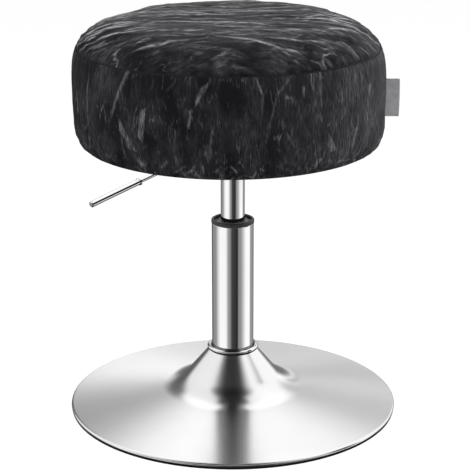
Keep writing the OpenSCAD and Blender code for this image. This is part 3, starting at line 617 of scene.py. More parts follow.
def rounded(corners, steps=4):
    """A closed outline whose corners, each (radius, height, fillet), are rounded by arcs."""
    outline = []
    for i, (x, z, fillet) in enumerate(corners):
        here = Vector((x, z))
        if fillet <= 0:
            outline.append((x, z))
            continue
        back = (Vector(corners[i - 1][:2]) - here).normalized()
        ahead = (Vector(corners[(i + 1) % len(corners)][:2]) - here).normalized()
        half = back.angle(ahead) / 2
        centre = here + (back + ahead).normalized() * (fillet / math.sin(half))
        first = here + back * (fillet / math.tan(half)) - centre
        last = here + ahead * (fillet / math.tan(half)) - centre
        turn = first.angle_signed(last)
        for k in range(steps + 1):
            a = -turn * k / steps
            outline.append((centre.x + first.x * math.cos(a) - first.y * math.sin(a),
                            centre.y + first.x * math.sin(a) + first.y * math.cos(a)))
    outline.append(outline[0])
    return outline


def even_steps(points, spacing):
    """The same line with points at even distances."""
    line = np.array(points, float)
    along = np.concatenate([[0], np.cumsum(np.linalg.norm(np.diff(line, axis=0), axis=1))])
    places = np.linspace(0, along[-1], max(2, round(along[-1] / spacing)) + 1)
    return list(zip(np.interp(places, along, line[:, 0]), np.interp(places, along, line[:, 1])))


def vertex_places(piece):
    """The piece's vertices as an array."""
    places = np.empty(len(piece.data.vertices) * 3, np.float64)
    piece.data.vertices.foreach_get("co", places)
    return places.reshape(-1, 3)


def vertex_normals(piece):
    """The piece's vertex normals as an array."""
    normals = np.empty(len(piece.data.vertices) * 3, np.float32)
    piece.data.vertex_normals.foreach_get("vector", normals)
    return normals.reshape(-1, 3).astype(np.float64)


def move_vertices(piece, places):
    """Puts the piece's vertices at new places."""
    piece.data.vertices.foreach_set("co", places.astype(np.float32).ravel())
    piece.data.update()


def bevelled(piece, width):
    """Bevels all edges of a piece a little."""
    only(piece)
    bpy.ops.object.mode_set(mode="EDIT")
    bpy.ops.mesh.select_all(action="SELECT")
    bpy.ops.mesh.bevel(offset=width, segments=1, affect="EDGES")
    bpy.ops.object.mode_set(mode="OBJECT")


def laid_out(piece, spots):
    """Copies a piece to each spot, given as the directions of its axes and its middle."""
    shape = vertex_places(piece)
    only(piece)
    copies = piece.modifiers.new("Copies", "ARRAY")
    copies.count = len(spots)
    copies.use_relative_offset = False
    bpy.ops.object.modifier_apply(modifier=copies.name)
    move_vertices(piece, np.concatenate([shape @ np.array(axes) + np.array(middle)
                                         for axes, middle in spots]))


def frame_radius(node, height):
    """The greatest radius of a node's vertices near a height."""
    places = np.array([v.co for v in frame["nodes"][node].data.vertices])
    near = places[np.abs(places[:, 2] - height) < 0.5 * MM]
    return float(np.hypot(near[:, 0], near[:, 1]).max())


def smoothstep(low, high, values):
    """0 below low, 1 above high, and smooth between."""
    t = np.clip((values - low) / (high - low), 0, 1)
    return t * t * (3 - 2 * t)


def soft_noise(places, size, rng, count=9):
    """Smooth noise of about -1 to 1 at points in space, whose features are about one size."""
    total = np.zeros(len(places))
    for _ in range(count):
        way = rng.normal(0, 1, 3)
        way *= 2 * math.pi / (size * rng.uniform(1.5, 3)) / np.linalg.norm(way)
        total += np.sin(places @ way + rng.uniform(0, 2 * math.pi))
    return total * 1.4 / math.sqrt(count)


# The cushion


# How far the cover's hem reaches in under the lining
HEM_OVERLAP = 13 * MM

# What lies no deeper than this below the seam's height belongs to the crown
SEAM_EDGE = 0.2 * MM

# How the cover's cloth behaves in the simulation, how hard it is filled, and for how long
CLOTH = {"quality": 6, "mass": 0.25, "tension_stiffness": 40, "compression_stiffness": 40,
         "shear_stiffness": 20, "bending_stiffness": 0.05, "shrink_min": -0.05,
         "use_pressure": True, "uniform_pressure_force": 4}
CLOTH_FRAMES = 20

# Folds of the band from large to small: how many, their usual direction and its spread in
# degrees, their length, width and height, how strong the highlight painted on their edges
# is, and how wide that highlight is
BAND_FOLDS = [
    dict(count=70, turn=85, spread=13, length=(40 * MM, 130 * MM), width=(6 * MM, 13 * MM),
         height=(-1.0 * MM, 1.0 * MM), bright=0.08, edge=1.4 * MM),
    dict(count=110, turn=83, spread=17, length=(16 * MM, 70 * MM), width=(2 * MM, 5 * MM),
         height=(-0.5 * MM, 0.5 * MM), bright=0.11, edge=1.0 * MM),
    dict(count=420, turn=80, spread=30, length=(5 * MM, 22 * MM), width=(1.2 * MM, 2.2 * MM),
         height=(-0.2 * MM, 0.25 * MM), bright=0.1, edge=0.8 * MM)]

# Small gathers that crowd the lower corner, given as the band's folds are, painted highlights
# included
CORNER_FOLDS = [
    dict(count=700, turn=80, spread=35, length=(6 * MM, 24 * MM), width=(1.2 * MM, 2.6 * MM),
         height=(-0.3 * MM, 0.7 * MM), bright=0.45, edge=0.9 * MM)]

# Crosswise folds of the top, given as the band's folds are, painted highlights included
TOP_FOLDS = [
    dict(count=60, turn=90, spread=9, length=(60 * MM, 220 * MM), width=(7 * MM, 14 * MM),
         height=(-1.0 * MM, 1.1 * MM), bright=0.4, edge=3.2 * MM),
    dict(count=320, turn=90, spread=12, length=(20 * MM, 120 * MM), width=(3 * MM, 6 * MM),
         height=(-1.0 * MM, 1.1 * MM), bright=2.5, edge=2.0 * MM),
    dict(count=700, turn=90, spread=18, length=(8 * MM, 45 * MM), width=(1.5 * MM, 3 * MM),
         height=(-0.6 * MM, 0.7 * MM), bright=1.5, edge=1.6 * MM)]

# Patches of the band where the pile was pressed, as the photograph shows them: angle round
# the seat, height, length and width in mm, lean in degrees from level, and strength of the
# painted sheen that lightens them
PRESSED = [
    (-130, 408, 66, 7.5, 64, 0.26), (-127, 363, 44, 10, 124, 0.22),
    (-120, 377, 40, 8, 82, 0.26), (-98.6, 414, 32, 5.5, 57, 0.29),
    (-102.6, 389, 24, 5, 78, 0.26), (-95.6, 431, 12, 6, 66, 0.42),
    (-79.5, 424, 24, 2.2, 114, 0.29), (-78.4, 402, 26, 2.2, 87, 0.23),
    (-70.7, 420, 28, 2.2, 42, 0.21), (-75.8, 383, 60, 2.2, 76, 0.18),
    (-56.2, 415, 46, 4, 87, 0.21), (-31.4, 392, 34, 6, 74, 0.29),
    (-40.3, 352, 30, 5, 78, 0.29), (-51.7, 356, 28, 10, 121, 0.21),
    (-95.6, 368, 30, 2.6, 81, 0.21), (-149, 390, 60, 7, 84, 0.18)]

# Gathers round the seam: how many waves of them, and where each begins
GATHERS = [(97, 0.4), (131, 1.9), (173, 3.1)]


def seat_outline(settings):
    """The seat's outline in two stretches: hem to seam, and seam to the crown's middle."""
    corner_steps, side_steps, crown_steps = 60, 30, 90
    seat_r, seam_r = BAND_BOX[1].x, CROWN_BOX[1].x
    low, seam_z, top = BAND_BOX[0].z, BAND_BOX[1].z, CROWN_BOX[1].z
    widest_z = low + (top - low) * settings.widest_share
    under_r = seat_r - settings.corner_width
    power, crown = settings.corner_power, settings.crown_power
    corner = [math.radians(90 * i / corner_steps) for i in range(corner_steps + 1)]
    band = [(DUST_BOX[1].x - HEM_OVERLAP, low)]
    band += [(under_r + settings.corner_width * math.sin(a) ** (2 / power),
              widest_z - (widest_z - low) * math.cos(a) ** (2 / power)) for a in corner]
    shares = [i / side_steps for i in range(1, side_steps + 1)]
    band += [(seat_r - (seat_r - seam_r) * u * u, widest_z + (seam_z - widest_z) * u)
             for u in shares]
    reach = [seam_r * math.cos(math.radians(90 * i / crown_steps))
             for i in range(crown_steps + 1)]
    crest = [(r, seam_z + (top - seam_z) * (1 - (r / seam_r) ** crown)) for r in reach]
    return band, crest


def filled_cover(settings, band, crest):
    """A cloth simulation of the cover, cut a little too large and filled until it buckles."""
    spacing, sides, voxel = 8 * MM, 96, 5 * MM
    coarse = even_steps(band, spacing) + even_steps(crest, spacing)[1:]
    cloth = turned("filled_cover", coarse, sides)
    only(cloth)
    bpy.ops.object.mode_set(mode="EDIT")
    bpy.ops.mesh.select_all(action="DESELECT")
    bpy.ops.mesh.select_non_manifold()
    bpy.ops.mesh.edge_face_add()
    bpy.ops.object.mode_set(mode="OBJECT")
    remesh = cloth.modifiers.new("Voxels", "REMESH")
    remesh.mode = "VOXEL"
    remesh.voxel_size = voxel
    bpy.ops.object.modifier_apply(modifier=remesh.name)
    places = vertex_places(cloth)
    # The cloth is held at its underside and round its seam
    near_seam = np.abs(places[:, 2] - BAND_BOX[1].z) < 4 * MM
    at_rim = np.hypot(places[:, 0], places[:, 1]) > CROWN_BOX[1].x - 6 * MM
    held = (places[:, 2] < BAND_BOX[0].z + 3 * MM) | (near_seam & at_rim)
    pins = cloth.vertex_groups.new(name="held")
    pins.add([int(i) for i in np.nonzero(held)[0]], 1.0, "REPLACE")
    sim = cloth.modifiers.new("Cloth", "CLOTH")
    for name, value in CLOTH.items():
        setattr(sim.settings, name, value)
    sim.settings.vertex_group_mass = pins.name
    sim.settings.effector_weights.gravity = 0
    sim.collision_settings.use_collision = False
    for number in range(CLOTH_FRAMES):
        bpy.context.scene.frame_set(number + 1)
    bpy.ops.object.modifier_apply(modifier=sim.name)
    bpy.context.scene.frame_set(1)
    moved = vertex_places(cloth) - places
    distance = np.linalg.norm(moved, axis=1)
    capped = np.minimum(distance, settings.swell) / np.maximum(distance, 1e-9)
    move_vertices(cloth, places + moved * capped[:, None])
    return cloth


def swell_like(piece, cloth, settings):
    """Moves the fine mesh out and in as the filled cloth does, about the seat's outline."""
    before = vertex_places(piece)
    normals = vertex_normals(piece)
    only(piece)
    wrap = piece.modifiers.new("Fill", "SHRINKWRAP")
    wrap.target = cloth
    wrap.wrap_method = "PROJECT"
    wrap.use_negative_direction = True
    wrap.use_positive_direction = True
    wrap.project_limit = 2 * settings.swell
    bpy.ops.object.modifier_apply(modifier=wrap.name)
    bpy.data.objects.remove(cloth)
    out = ((vertex_places(piece) - before) * normals).sum(axis=1)
    # The outline keeps its mean place all round: only the difference between sides counts
    radius, height = np.hypot(before[:, 0], before[:, 1]), before[:, 2]
    rings = np.unique(np.round(np.stack([radius, height], axis=1), 5), axis=0,
                      return_inverse=True)[1].ravel()
    mean = np.bincount(rings, out) / np.bincount(rings)
    # It keeps its place at the seam, at the hem and in the crown's middle too
    low, seam_z = BAND_BOX[0].z, BAND_BOX[1].z
    from_seam = np.where(height > seam_z - SEAM_EDGE, CROWN_BOX[1].x - radius, seam_z - height)
    share = smoothstep(0, 8 * MM, from_seam) * smoothstep(low, low + 12 * MM, height)
    share *= smoothstep(0, 30 * MM, radius)
    swelled = settings.swell_share * (out - mean[rings]) * share
    move_vertices(piece, before + normals * swelled[:, None])


def fold_field(places, folds, extent, rng, wrap=0.0):
    """Lays straight folds at random over a flat cloth: heights, and the highlights painted on
    their edges.

    Each fold has a sharp edge, is steeper on one side than on the other, and fades to its
    ends. A wrap is the length after which the cloth meets itself, as round the band.
    """
    total, light = np.zeros(len(places)), np.zeros(len(places))
    order = np.argsort(places[:, 0])
    sorted_x = places[order, 0]
    for _ in range(folds["count"]):
        centre = [rng.uniform(*extent[0]), rng.uniform(*extent[1])]
        angle = math.radians(rng.normal(folds["turn"], folds["spread"]))
        length, width = rng.uniform(*folds["length"]), rng.uniform(*folds["width"])
        height = rng.uniform(*folds["height"])
        # The fold bows a little, and is a few times wider on its gentle side
        bow, lean = rng.normal(0, 1.5), rng.uniform(1.5, 4)
        # Only raised folds get a highlight painted along their edge
        bright = folds["bright"] * rng.uniform(-0.6, 1.0) * (height > 0)
        reach = abs(math.cos(angle)) * length / 2 + 5 * width * lean
        for turns in (-1, 0, 1) if wrap else (0,):
            middle = centre[0] + turns * wrap
            first, last = np.searchsorted(sorted_x, [middle - reach, middle + reach])
            if first == last:
                continue
            near = order[first:last]
            dx, dy = places[near, 0] - middle, places[near, 1] - centre[1]
            along = dx * math.cos(angle) + dy * math.sin(angle)
            across = dy * math.cos(angle) - dx * math.sin(angle) + bow * along * along
            fade = np.clip(1 - (2 * along / length) ** 2, 0, 1)
            steep = np.where(across > 0, width, width * lean)
            total[near] += height * fade ** 1.5 * np.exp(-np.abs(across) / steep)
            if bright > 0:
                line = np.exp(-(across / folds["edge"]) ** 2) * fade * bright
                light[near] = np.maximum(light[near], line)
    return total, light


def folded(flat, extent, kinds, rng, wrap=0.0):
    """Folds of several kinds together: heights, and the highlights painted on their edges."""
    height, light = np.zeros(len(flat)), np.zeros(len(flat))
    for folds in kinds:
        lift, line = fold_field(flat, folds, extent, rng, wrap)
        height += lift
        light = np.maximum(light, line)
    return height, light


def pressed_patches(flat, radius, rng):
    """How strongly the pile is pressed at each point of the band, which is painted as a lighter
    sheen, and each patch's height.
    """
    raised, corner_count = 0.9 * MM, 3
    painted_pile_sheen, lift = np.zeros(len(flat)), np.zeros(len(flat))
    for degrees, height, length, width, lean, strength in PRESSED:
        dx, dy = flat[:, 0] - math.radians(degrees) * radius, flat[:, 1] - height * MM
        turn = math.radians(lean)
        along = (dx * math.cos(turn) + dy * math.sin(turn)) / (length * MM / 2)
        across = dy * math.cos(turn) - dx * math.sin(turn)
        # One side of the patch is straight and the other is broken into a polygon
        corners = rng.uniform(-0.9, 0.9, corner_count)
        reach = np.interp(along, np.sort(np.concatenate([[-1], corners, [1]])),
                          [0] + list(rng.uniform(0.5, 1, corner_count)) + [0]) * width * MM
        inside = smoothstep(-0.5 * MM, 0.6 * MM, across)
        inside *= smoothstep(-0.4 * MM, 0.8 * MM, reach - across) * (np.abs(along) < 1)
        painted_pile_sheen = np.maximum(painted_pile_sheen, strength * inside)
        lift += raised * inside * np.exp(-np.maximum(across, 0) / (0.5 * width * MM))
    return painted_pile_sheen, lift


def seam_gathers(angle, from_seam):
    """Fine waves of the cloth along the seam, which die away from it."""
    waves = sum(np.sin(count * angle + phase + 0.7 * np.sin(5 * angle + phase))
                for count, phase in GATHERS)
    return 0.2 * MM * waves * np.exp(-from_seam / (8 * MM)) * smoothstep(0, 3 * MM, from_seam)


def fold_sheen_strength(places, radius, on_top, rng):
    """How strong the highlights painted on the folds' edges are at each point."""
    # The painted highlights come out stronger, at random, in patches where many folds meet than
    # in calm ones
    lively = 0.35 + 0.65 * smoothstep(-0.3, 1.1, soft_noise(places, 45 * MM, rng))
    # Painted shade: the crown's slope to the seam, above all in front where it turns from the
    # light, gets weaker painted highlights
    seam_r = CROWN_BOX[1].x
    plain = 0.35 + 0.6 * smoothstep(0.3, 0.8, -places[:, 1] / radius.clip(1 * MM))
    slope = smoothstep(0.8 * seam_r, 0.93 * seam_r, radius)
    return lively * np.where(on_top, 1 - plain * slope, 1)


def wrinkle(piece, settings):
    """Presses folds, seam, gathers and hem into the filled cover, and paints highlights on its
    fold edges and pressed patches.
    """
    rng = np.random.default_rng(7)
    places, normals = vertex_places(piece), vertex_normals(piece)
    radius, height = np.hypot(places[:, 0], places[:, 1]), places[:, 2]
    angle = np.arctan2(places[:, 1], places[:, 0])
    low, seam_z = BAND_BOX[0].z, BAND_BOX[1].z
    seat_r, seam_r = BAND_BOX[1].x, CROWN_BOX[1].x
    girth = 2 * math.pi * seat_r
    on_top = (height > seam_z - SEAM_EDGE) & (radius < seam_r + 1 * MM)
    band = ~on_top
    # The band is laid out flat by angle and height, and goes on below round its corner
    band_flat = np.stack([angle * seat_r, height - (seat_r - radius).clip(0, 1) * 0.7], axis=1)
    top_flat = places[:, [1, 0]]
    folds, painted_fold_sheen, painted_pile_sheen = np.zeros(len(places)), np.zeros(len(places)), np.zeros(len(places))
    around = (-girth / 2, girth / 2)
    folds[band], painted_fold_sheen[band] = folded(band_flat[band], [around, (low - 30 * MM, seam_z)],
                                      BAND_FOLDS, rng, girth)
    crowd, crowd_painted_sheen = folded(band_flat[band], [around, (low - 25 * MM, low + 16 * MM)],
                                CORNER_FOLDS, rng, girth)
    pressed, lift = pressed_patches(band_flat[band], seat_r, rng)
    folds[band] += crowd + lift
    painted_fold_sheen[band] = np.maximum(painted_fold_sheen[band], crowd_painted_sheen)
    # Painted light: the band is painted lighter towards its right-hand side, where more light
    # falls on it
    right_side_light = smoothstep(0.1, 0.95, (places[:, 0] / radius.clip(1 * MM))[band])
    painted_pile_sheen[band] = 0.66 * pressed + 0.05 * right_side_light
    folds[on_top], painted_fold_sheen[on_top] = folded(top_flat[on_top], [(-seam_r, seam_r)] * 2, TOP_FOLDS,
                                          rng)
    # The seam is drawn in unevenly, and gathers the cloth on both sides of it
    from_seam = np.where(on_top, seam_r - radius, seam_z - height)
    drawn = np.exp(-(from_seam / (1.6 * MM)) ** 2)
    near_seam = smoothstep(0, 4 * MM, from_seam)
    under = smoothstep(low + 0.3 * MM, low + 5 * MM, height)
    uneven = 0.75 + 0.25 * soft_noise(places, 40 * MM, rng)
    lift = folds * near_seam * under - settings.seam_depth * drawn * uneven
    lift += seam_gathers(angle, from_seam)
    moved = places + normals * lift[:, None]
    moved[:, 2] = np.maximum(moved[:, 2], low)
    # The padding leans, and has sunk on the left of the crown
    share = (moved[:, 2] - low) / (CROWN_BOX[1].z - low)
    moved[:, 0] -= settings.shift + settings.lean * share
    sunk = smoothstep(70 * MM, 150 * MM, -places[:, 0]) * smoothstep(0, 22 * MM, from_seam)
    moved[:, 2] -= np.where(on_top, settings.settled * sunk, 0)
    move_vertices(piece, moved)
    # Painted sheen, written on the mesh for the velvet's colour: highlights on fold edges, and
    # the band's pressed patches and right side
    shown = painted_fold_sheen * fold_sheen_strength(places, radius, on_top, rng)
    for name, values in (("painted_fold_sheen", shown), ("painted_pile_sheen", painted_pile_sheen)):
        attribute = piece.data.attributes.new(name, "FLOAT", "POINT")
        attribute.data.foreach_set("value", (values * near_seam).astype(np.float32))
    lay_out_cloth(piece, on_top, band_flat, top_flat)


def lay_out_cloth(piece, on_top, band_flat, top_flat):
    """Writes the cloth's own flat coordinates, in metres, as a UV map named cloth.

    The second direction runs along the creases: up the band, and crosswise on the top. The
    top's pattern is drawn wider than the band's, and lies 1 m away from it.
    """
    flat = np.where(on_top[:, None], top_flat * (0.42, 1.0) + 1.0, band_flat)
    corners = np.empty(len(piece.data.loops), np.int32)
    piece.data.loops.foreach_get("vertex_index", corners)
    per_corner = flat[corners]
    counts = np.empty(len(piece.data.polygons), np.int32)
    piece.data.polygons.foreach_get("loop_total", counts)
    face_of = np.repeat(np.arange(len(counts)), counts)
    # A face across the band's closing seam takes all its corners from one side of it
    farthest = np.full(len(counts), -np.inf)
    np.maximum.at(farthest, face_of, per_corner[:, 0])
    girth = 2 * math.pi * BAND_BOX[1].x
    per_corner[(farthest[face_of] - per_corner[:, 0]) > girth / 2, 0] += girth
    layer = piece.data.uv_layers.new(name="cloth")
    layer.data.foreach_set("uv", per_corner.astype(np.float32).ravel())


def make_cushion(settings):
    """The padded seat: a crowned closed form with its folds, seam and gathered hem."""
    band, crest = seat_outline(settings)
    outline = even_steps(band, settings.ring_spacing)
    outline += even_steps(crest, settings.ring_spacing)[1:]
    outline[-1] = (0.0, outline[-1][1])
    # Inside the hem the form is closed a little above it
    hem_r, inner_z = outline[0][0], outline[0][1] + 1.5 * MM
    closing = [(0.0, inner_z), (hem_r, inner_z)]
    piece = turned("velvet_cushion", closing + outline, settings.sides, 180)
    swell_like(piece, filled_cover(settings, band, crest), settings)
    wrinkle(piece, settings)
    return piece


def seam_point(settings, angle, sunk):
    """A point in the seam at an angle round the seat, sunk below the cover's surface."""
    reach = CROWN_BOX[1].x - sunk
    low, seam_z, top = BAND_BOX[0].z, BAND_BOX[1].z, CROWN_BOX[1].z
    lean = settings.shift + settings.lean * (seam_z - low) / (top - low)
    return Vector((reach * math.cos(angle) - lean, reach * math.sin(angle), seam_z))


def make_stitches(settings):
    """The seam's stitching: short slanting stitches that lie in the seam, end to end."""
    pitch, length, thread = 5.2 * MM, 3.9 * MM, 0.42 * MM
    sunk, slant = 0.9 * MM, 0.12
    bpy.ops.object.select_all(action="DESELECT")
    bpy.ops.mesh.primitive_cylinder_add(vertices=8, radius=thread, depth=length)
    piece = bpy.context.object
    piece.name = "seam_stitches"
    bevelled(piece, 0.6 * thread)
    count = round(2 * math.pi * CROWN_BOX[1].x / pitch)
    spots = []
    for i in range(count):
        a = 2 * math.pi * i / count
        tangent = Vector((-math.sin(a), math.cos(a), slant)).normalized()
        outwards = Vector((math.cos(a), math.sin(a), 0))
        spots.append(([outwards, outwards.cross(tangent), tangent],
                      seam_point(settings, a, sunk) - Vector((0, 0, sunk))))
    laid_out(piece, spots)
    bpy.ops.object.shade_smooth()
    return piece


# Tag and lining


# How wide the lining's edge is turned in, and the number of its sides
LINING_HEM, LINING_SIDES = 9 * MM, 192


def tag_ends(cushion):
    """How far out the tag's ribbon is sewn into the band, and how far out its fold is."""
    root = BAND_BOX[1].x - cushion.shift - cushion.lean / 2 - 2.5 * MM
    return root, TAG_BOX[1].x - 0.5 * MM


def make_tag(settings, cushion):
    """The side tag: a ribbon folded in two, its fold outermost, with soft bends."""
    low, high = TAG_BOX
    root, end = tag_ends(cushion)
    # Half the gap between the layers, how much wider it is where they are sewn in, and
    # the number of steps of a layer and of the fold
    gap, parting, steps = 0.35 * MM, 0.2 * MM, 6
    run = [root + (end - gap - root) * k / steps for k in range(1, steps + 1)]
    line = [(root, -gap - parting, low.z)] + [(x, -gap, low.z) for x in run]
    line += [(x, y, low.z) for x, y in arc((end - gap, 0), gap, -90, 90, steps)[1:]]
    line += [(x, gap, low.z) for x in run[-2::-1]] + [(root, gap + parting, low.z)]
    piece = drawn_line("ribbon_tag", line)
    bpy.ops.mesh.select_all(action="SELECT")
    bpy.ops.mesh.extrude_region_move(TRANSFORM_OT_translate={"value": (0, 0, high.z - low.z)})
    bpy.ops.object.mode_set(mode="OBJECT")
    vertices = piece.data.vertices
    for edge in piece.data.edges:
        first, second = (vertices[i].co.z for i in edge.vertices)
        edge.select = abs(first - second) > MM
    for group in (vertices, piece.data.polygons):
        for part in group:
            part.select = False
    bpy.ops.object.mode_set(mode="EDIT")
    bpy.ops.mesh.subdivide(number_cuts=11)
    bpy.ops.mesh.select_all(action="SELECT")
    bpy.ops.mesh.normals_make_consistent(inside=False)
    bpy.ops.object.mode_set(mode="OBJECT")
    # The ribbon waves and bends more towards its fold, whose corners curl back
    places = vertex_places(piece)
    out = (places[:, 0] - root) / (end - root)
    up = (places[:, 2] - low.z) / (high.z - low.z)
    places[:, 1] += 1.1 * MM * out * np.sin(2.4 * up + 0.6) - 0.8 * MM * out * out
    places[:, 0] -= 0.5 * MM * out * (1 - np.sin(math.pi * up))
    move_vertices(piece, places)
    only(piece)
    thick = piece.modifiers.new("Thickness", "SOLIDIFY")
    thick.thickness = settings.ribbon_thickness
    thick.offset = 0
    bpy.ops.object.modifier_apply(modifier=thick.name)
    soft = piece.modifiers.new("Soft", "SUBSURF")
    soft.levels = soft.render_levels = 2
    bpy.ops.object.modifier_apply(modifier=soft.name)
    bpy.ops.object.shade_smooth()
    return piece


def make_lining(settings):
    """The cloth under the board: stapled flat, with a turned-in edge and slight puckers."""
    low, edge = DUST_BOX[0].z, DUST_BOX[1].x
    # Above its lowest place: the flat of the cloth, its edge, and the radius of its fold
    flat, near, fold = 1.2 * MM, 0.35 * MM, 0.4 * MM
    outline = [(edge * k / 20, low + flat) for k in range(17)]
    outline += [(edge * k / 20, low + near) for k in (17.5, 18.5, 19.3)]
    outline += arc((edge - fold, low + near + fold), fold, -90, 90, steps=6)
    outline += [(edge - LINING_HEM, low + near + 2 * fold)]
    piece = turned("lining_cloth", outline, LINING_SIDES, 60)
    places = vertex_places(piece)
    radius = np.hypot(places[:, 0], places[:, 1])
    angle = np.arctan2(places[:, 1], places[:, 0])
    # It puckers between the staples, near its edge
    pull = np.abs(np.sin(settings.staple_count / 2 * angle))
    near_edge = smoothstep(edge - 40 * MM, edge - 12 * MM, radius)
    places[:, 2] -= 0.45 * MM * pull * near_edge * (1 - smoothstep(edge - 3 * MM, edge, radius))
    move_vertices(piece, places)
    return piece


def make_staples(settings):
    """Staples round the lining: the wire's crown, pressed a little into the cloth."""
    wire, width = 0.55 * MM, settings.staple_width
    bpy.ops.object.select_all(action="DESELECT")
    bpy.ops.mesh.primitive_cube_add(size=1)
    piece = bpy.context.object
    piece.name = "lining_staples"
    piece.scale = (width, wire, wire)
    bpy.ops.object.transform_apply(location=True, rotation=True, scale=True)
    bevelled(piece, 0.2 * wire)
    rng = np.random.default_rng(3)
    reach, z = DUST_BOX[1].x - 7 * MM, DUST_BOX[0].z - 0.1 * MM
    spots = []
    for i in range(settings.staple_count):
        a = 2 * math.pi * (i + 0.5) / settings.staple_count
        turn = a + math.pi / 2 + rng.normal(0, 0.12)
        spot = reach + rng.normal(0, 0.8 * MM)
        spots.append(([[math.cos(turn), math.sin(turn), 0], [-math.sin(turn), math.cos(turn), 0],
                       [0, 0, 1]], [spot * math.cos(a), spot * math.sin(a), z]))
    laid_out(piece, spots)
    return piece


# Turned metal pieces


# Gap between the column and what stands round its foot
COLUMN_GAP = 0.3 * MM

# How far the column's wall reaches up behind the collar's edge, as the photograph shows
COLUMN_RISE = 1.1 * MM

# Thickness of the tubes' walls, and numbers of their sides
TUBE_WALL = 1.5 * MM
COLUMN_SIDES, GAS_SIDES = 160, 128


def shell_outline(settings):
    """The spun shell's closed outline: shoulder, neck, sweep, skirt, rolled rim and inside."""
    base_r, base_h = SHELL_BOX[1].x, SHELL_BOX[1].z
    hole_r = COLUMN_BOX[1].x + COLUMN_GAP
    neck_r = COLUMN_BOX[1].x + settings.shoulder
    sheet, rim_r, sweep_r = settings.sheet, settings.rim_radius, settings.sweep_radius
    steep, shallow = settings.neck_slope, settings.skirt_slope
    rim_x, rim_z = base_r - rim_r, SHELL_BOX[0].z + rim_r
    skirt = (rim_x + rim_r * math.sin(shallow), rim_z + rim_r * math.cos(shallow))
    # Neck and skirt are straight, and the sweep rounds the corner in which they would meet
    cross_x = base_h + neck_r * math.tan(steep) - skirt[1] - skirt[0] * math.tan(shallow)
    cross_x /= math.tan(steep) - math.tan(shallow)
    cross_z = skirt[1] + (skirt[0] - cross_x) * math.tan(shallow)
    tangent = sweep_r * math.tan((steep - shallow) / 2)
    centre = (cross_x - tangent * math.cos(steep) + sweep_r * math.sin(steep),
              cross_z + tangent * math.sin(steep) + sweep_r * math.cos(steep))
    turn = [270 - math.degrees(steep), 270 - math.degrees(shallow)]
    sweep = arc(centre, sweep_r, *turn, steps=28)
    inner = arc(centre, sweep_r + sheet, *turn, steps=14)
    # The shoulder's edge is a small arc that runs into the neck's slope
    lip = 1.2 * MM
    outline = [(hole_r, base_h), (neck_r - lip, base_h)]
    outline += arc((neck_r - lip, base_h - lip), lip, 90, 90 - math.degrees(steep), steps=5)
    outline += sweep
    last, runs = sweep[-1], 12
    outline += [(last[0] + (skirt[0] - last[0]) * k / runs,
                 last[1] + (skirt[1] - last[1]) * k / runs) for k in range(1, runs)]
    # The rim is rolled in by more than half a turn
    outline += arc((rim_x, rim_z), rim_r, 90 - math.degrees(shallow), -190, steps=22)
    under, drop = rim_x - rim_r * 1.6, sheet / math.cos(shallow)
    outline += [(under, skirt[1] + (skirt[0] - under) * math.tan(shallow) - drop)]
    outline += inner[::-1]
    outline += [(neck_r - sheet, base_h - sheet), (hole_r, base_h - sheet), (hole_r, base_h)]
    return outline


def make_shell(settings):
    """The trumpet base, spun from one sheet."""
    return turned("trumpet_base", shell_outline(settings), settings.sides, 30)


def make_trim(settings):
    """The polished half-round ring at the column's foot."""
    low, high = TRIM_BOX
    inner = COLUMN_BOX[1].x + COLUMN_GAP
    middle, half = (inner + high.x) / 2, (high.x - inner) / 2
    centre_z = high.z - half
    foot_in, foot_out, lip = middle - half * 0.8, middle + half * 0.72, centre_z - 1.1 * MM
    outline = [(foot_in, low.z), (foot_out, low.z), (foot_out, lip)]
    outline += arc((middle, centre_z), half, -25, 200, steps=26)
    outline += [outline[0]]
    return turned("trim_ring_bright", outline, settings.sides, 50)


def paint_trim_shadow(ring):
    """Gives the ring's lower faces on both sides black rubber, as a seat, whose dark line is
    painted shade for the contact shadow where the ring meets the base and the column.
    """
    outer_drop, inner_drop = 3.6 * MM, 1.9 * MM
    middle = (COLUMN_BOX[1].x + TRIM_BOX[1].x) / 2
    ring.data.materials.append(bpy.data.materials[SLOT_MATERIALS["rubber"]])
    for face in ring.data.polygons:
        out = math.hypot(face.center.x, face.center.y) - middle
        below = TRIM_BOX[1].z - face.center.z
        if below > (outer_drop if out > 0 else inner_drop):
            face.material_index = 1


def make_column():
    """The column's outer tube, with a softened top edge and a taper at its foot."""
    low, high = COLUMN_BOX[0].z, COLUMN_BOX[1].z + COLUMN_RISE
    taper, outer = frame_radius("column_tube", low), COLUMN_BOX[1].x
    full_z, soft = low + 50 * MM, 0.3 * MM
    outline = rounded([
        (taper - TUBE_WALL, low, soft), (taper, low, soft), (outer, full_z, 0),
        (outer, high, soft), (outer - TUBE_WALL, high, soft), (outer - TUBE_WALL, full_z, 0)])
    return turned("column_outer_tube", outline, COLUMN_SIDES, 30)


def make_collar():
    """The collar cap: a moulded ring with rounded edges, a recess and a spigot."""
    low, top, outer = COLLAR_BOX[0].z, COLLAR_BOX[1].z, COLLAR_BOX[1].x
    seat = COLUMN_BOX[1].z + COLUMN_RISE
    inner, spigot = outer - 3.3 * MM, COLUMN_BOX[1].x - 1.55 * MM
    outline = rounded([
        (inner, low, 0), (spigot, low, 0.3 * MM), (spigot, seat, 0),
        (outer, seat, 0.5 * MM), (outer, top, 1.3 * MM), (inner, top, 0.6 * MM)])
    return turned("collar_ring", outline, COLUMN_SIDES, 40)


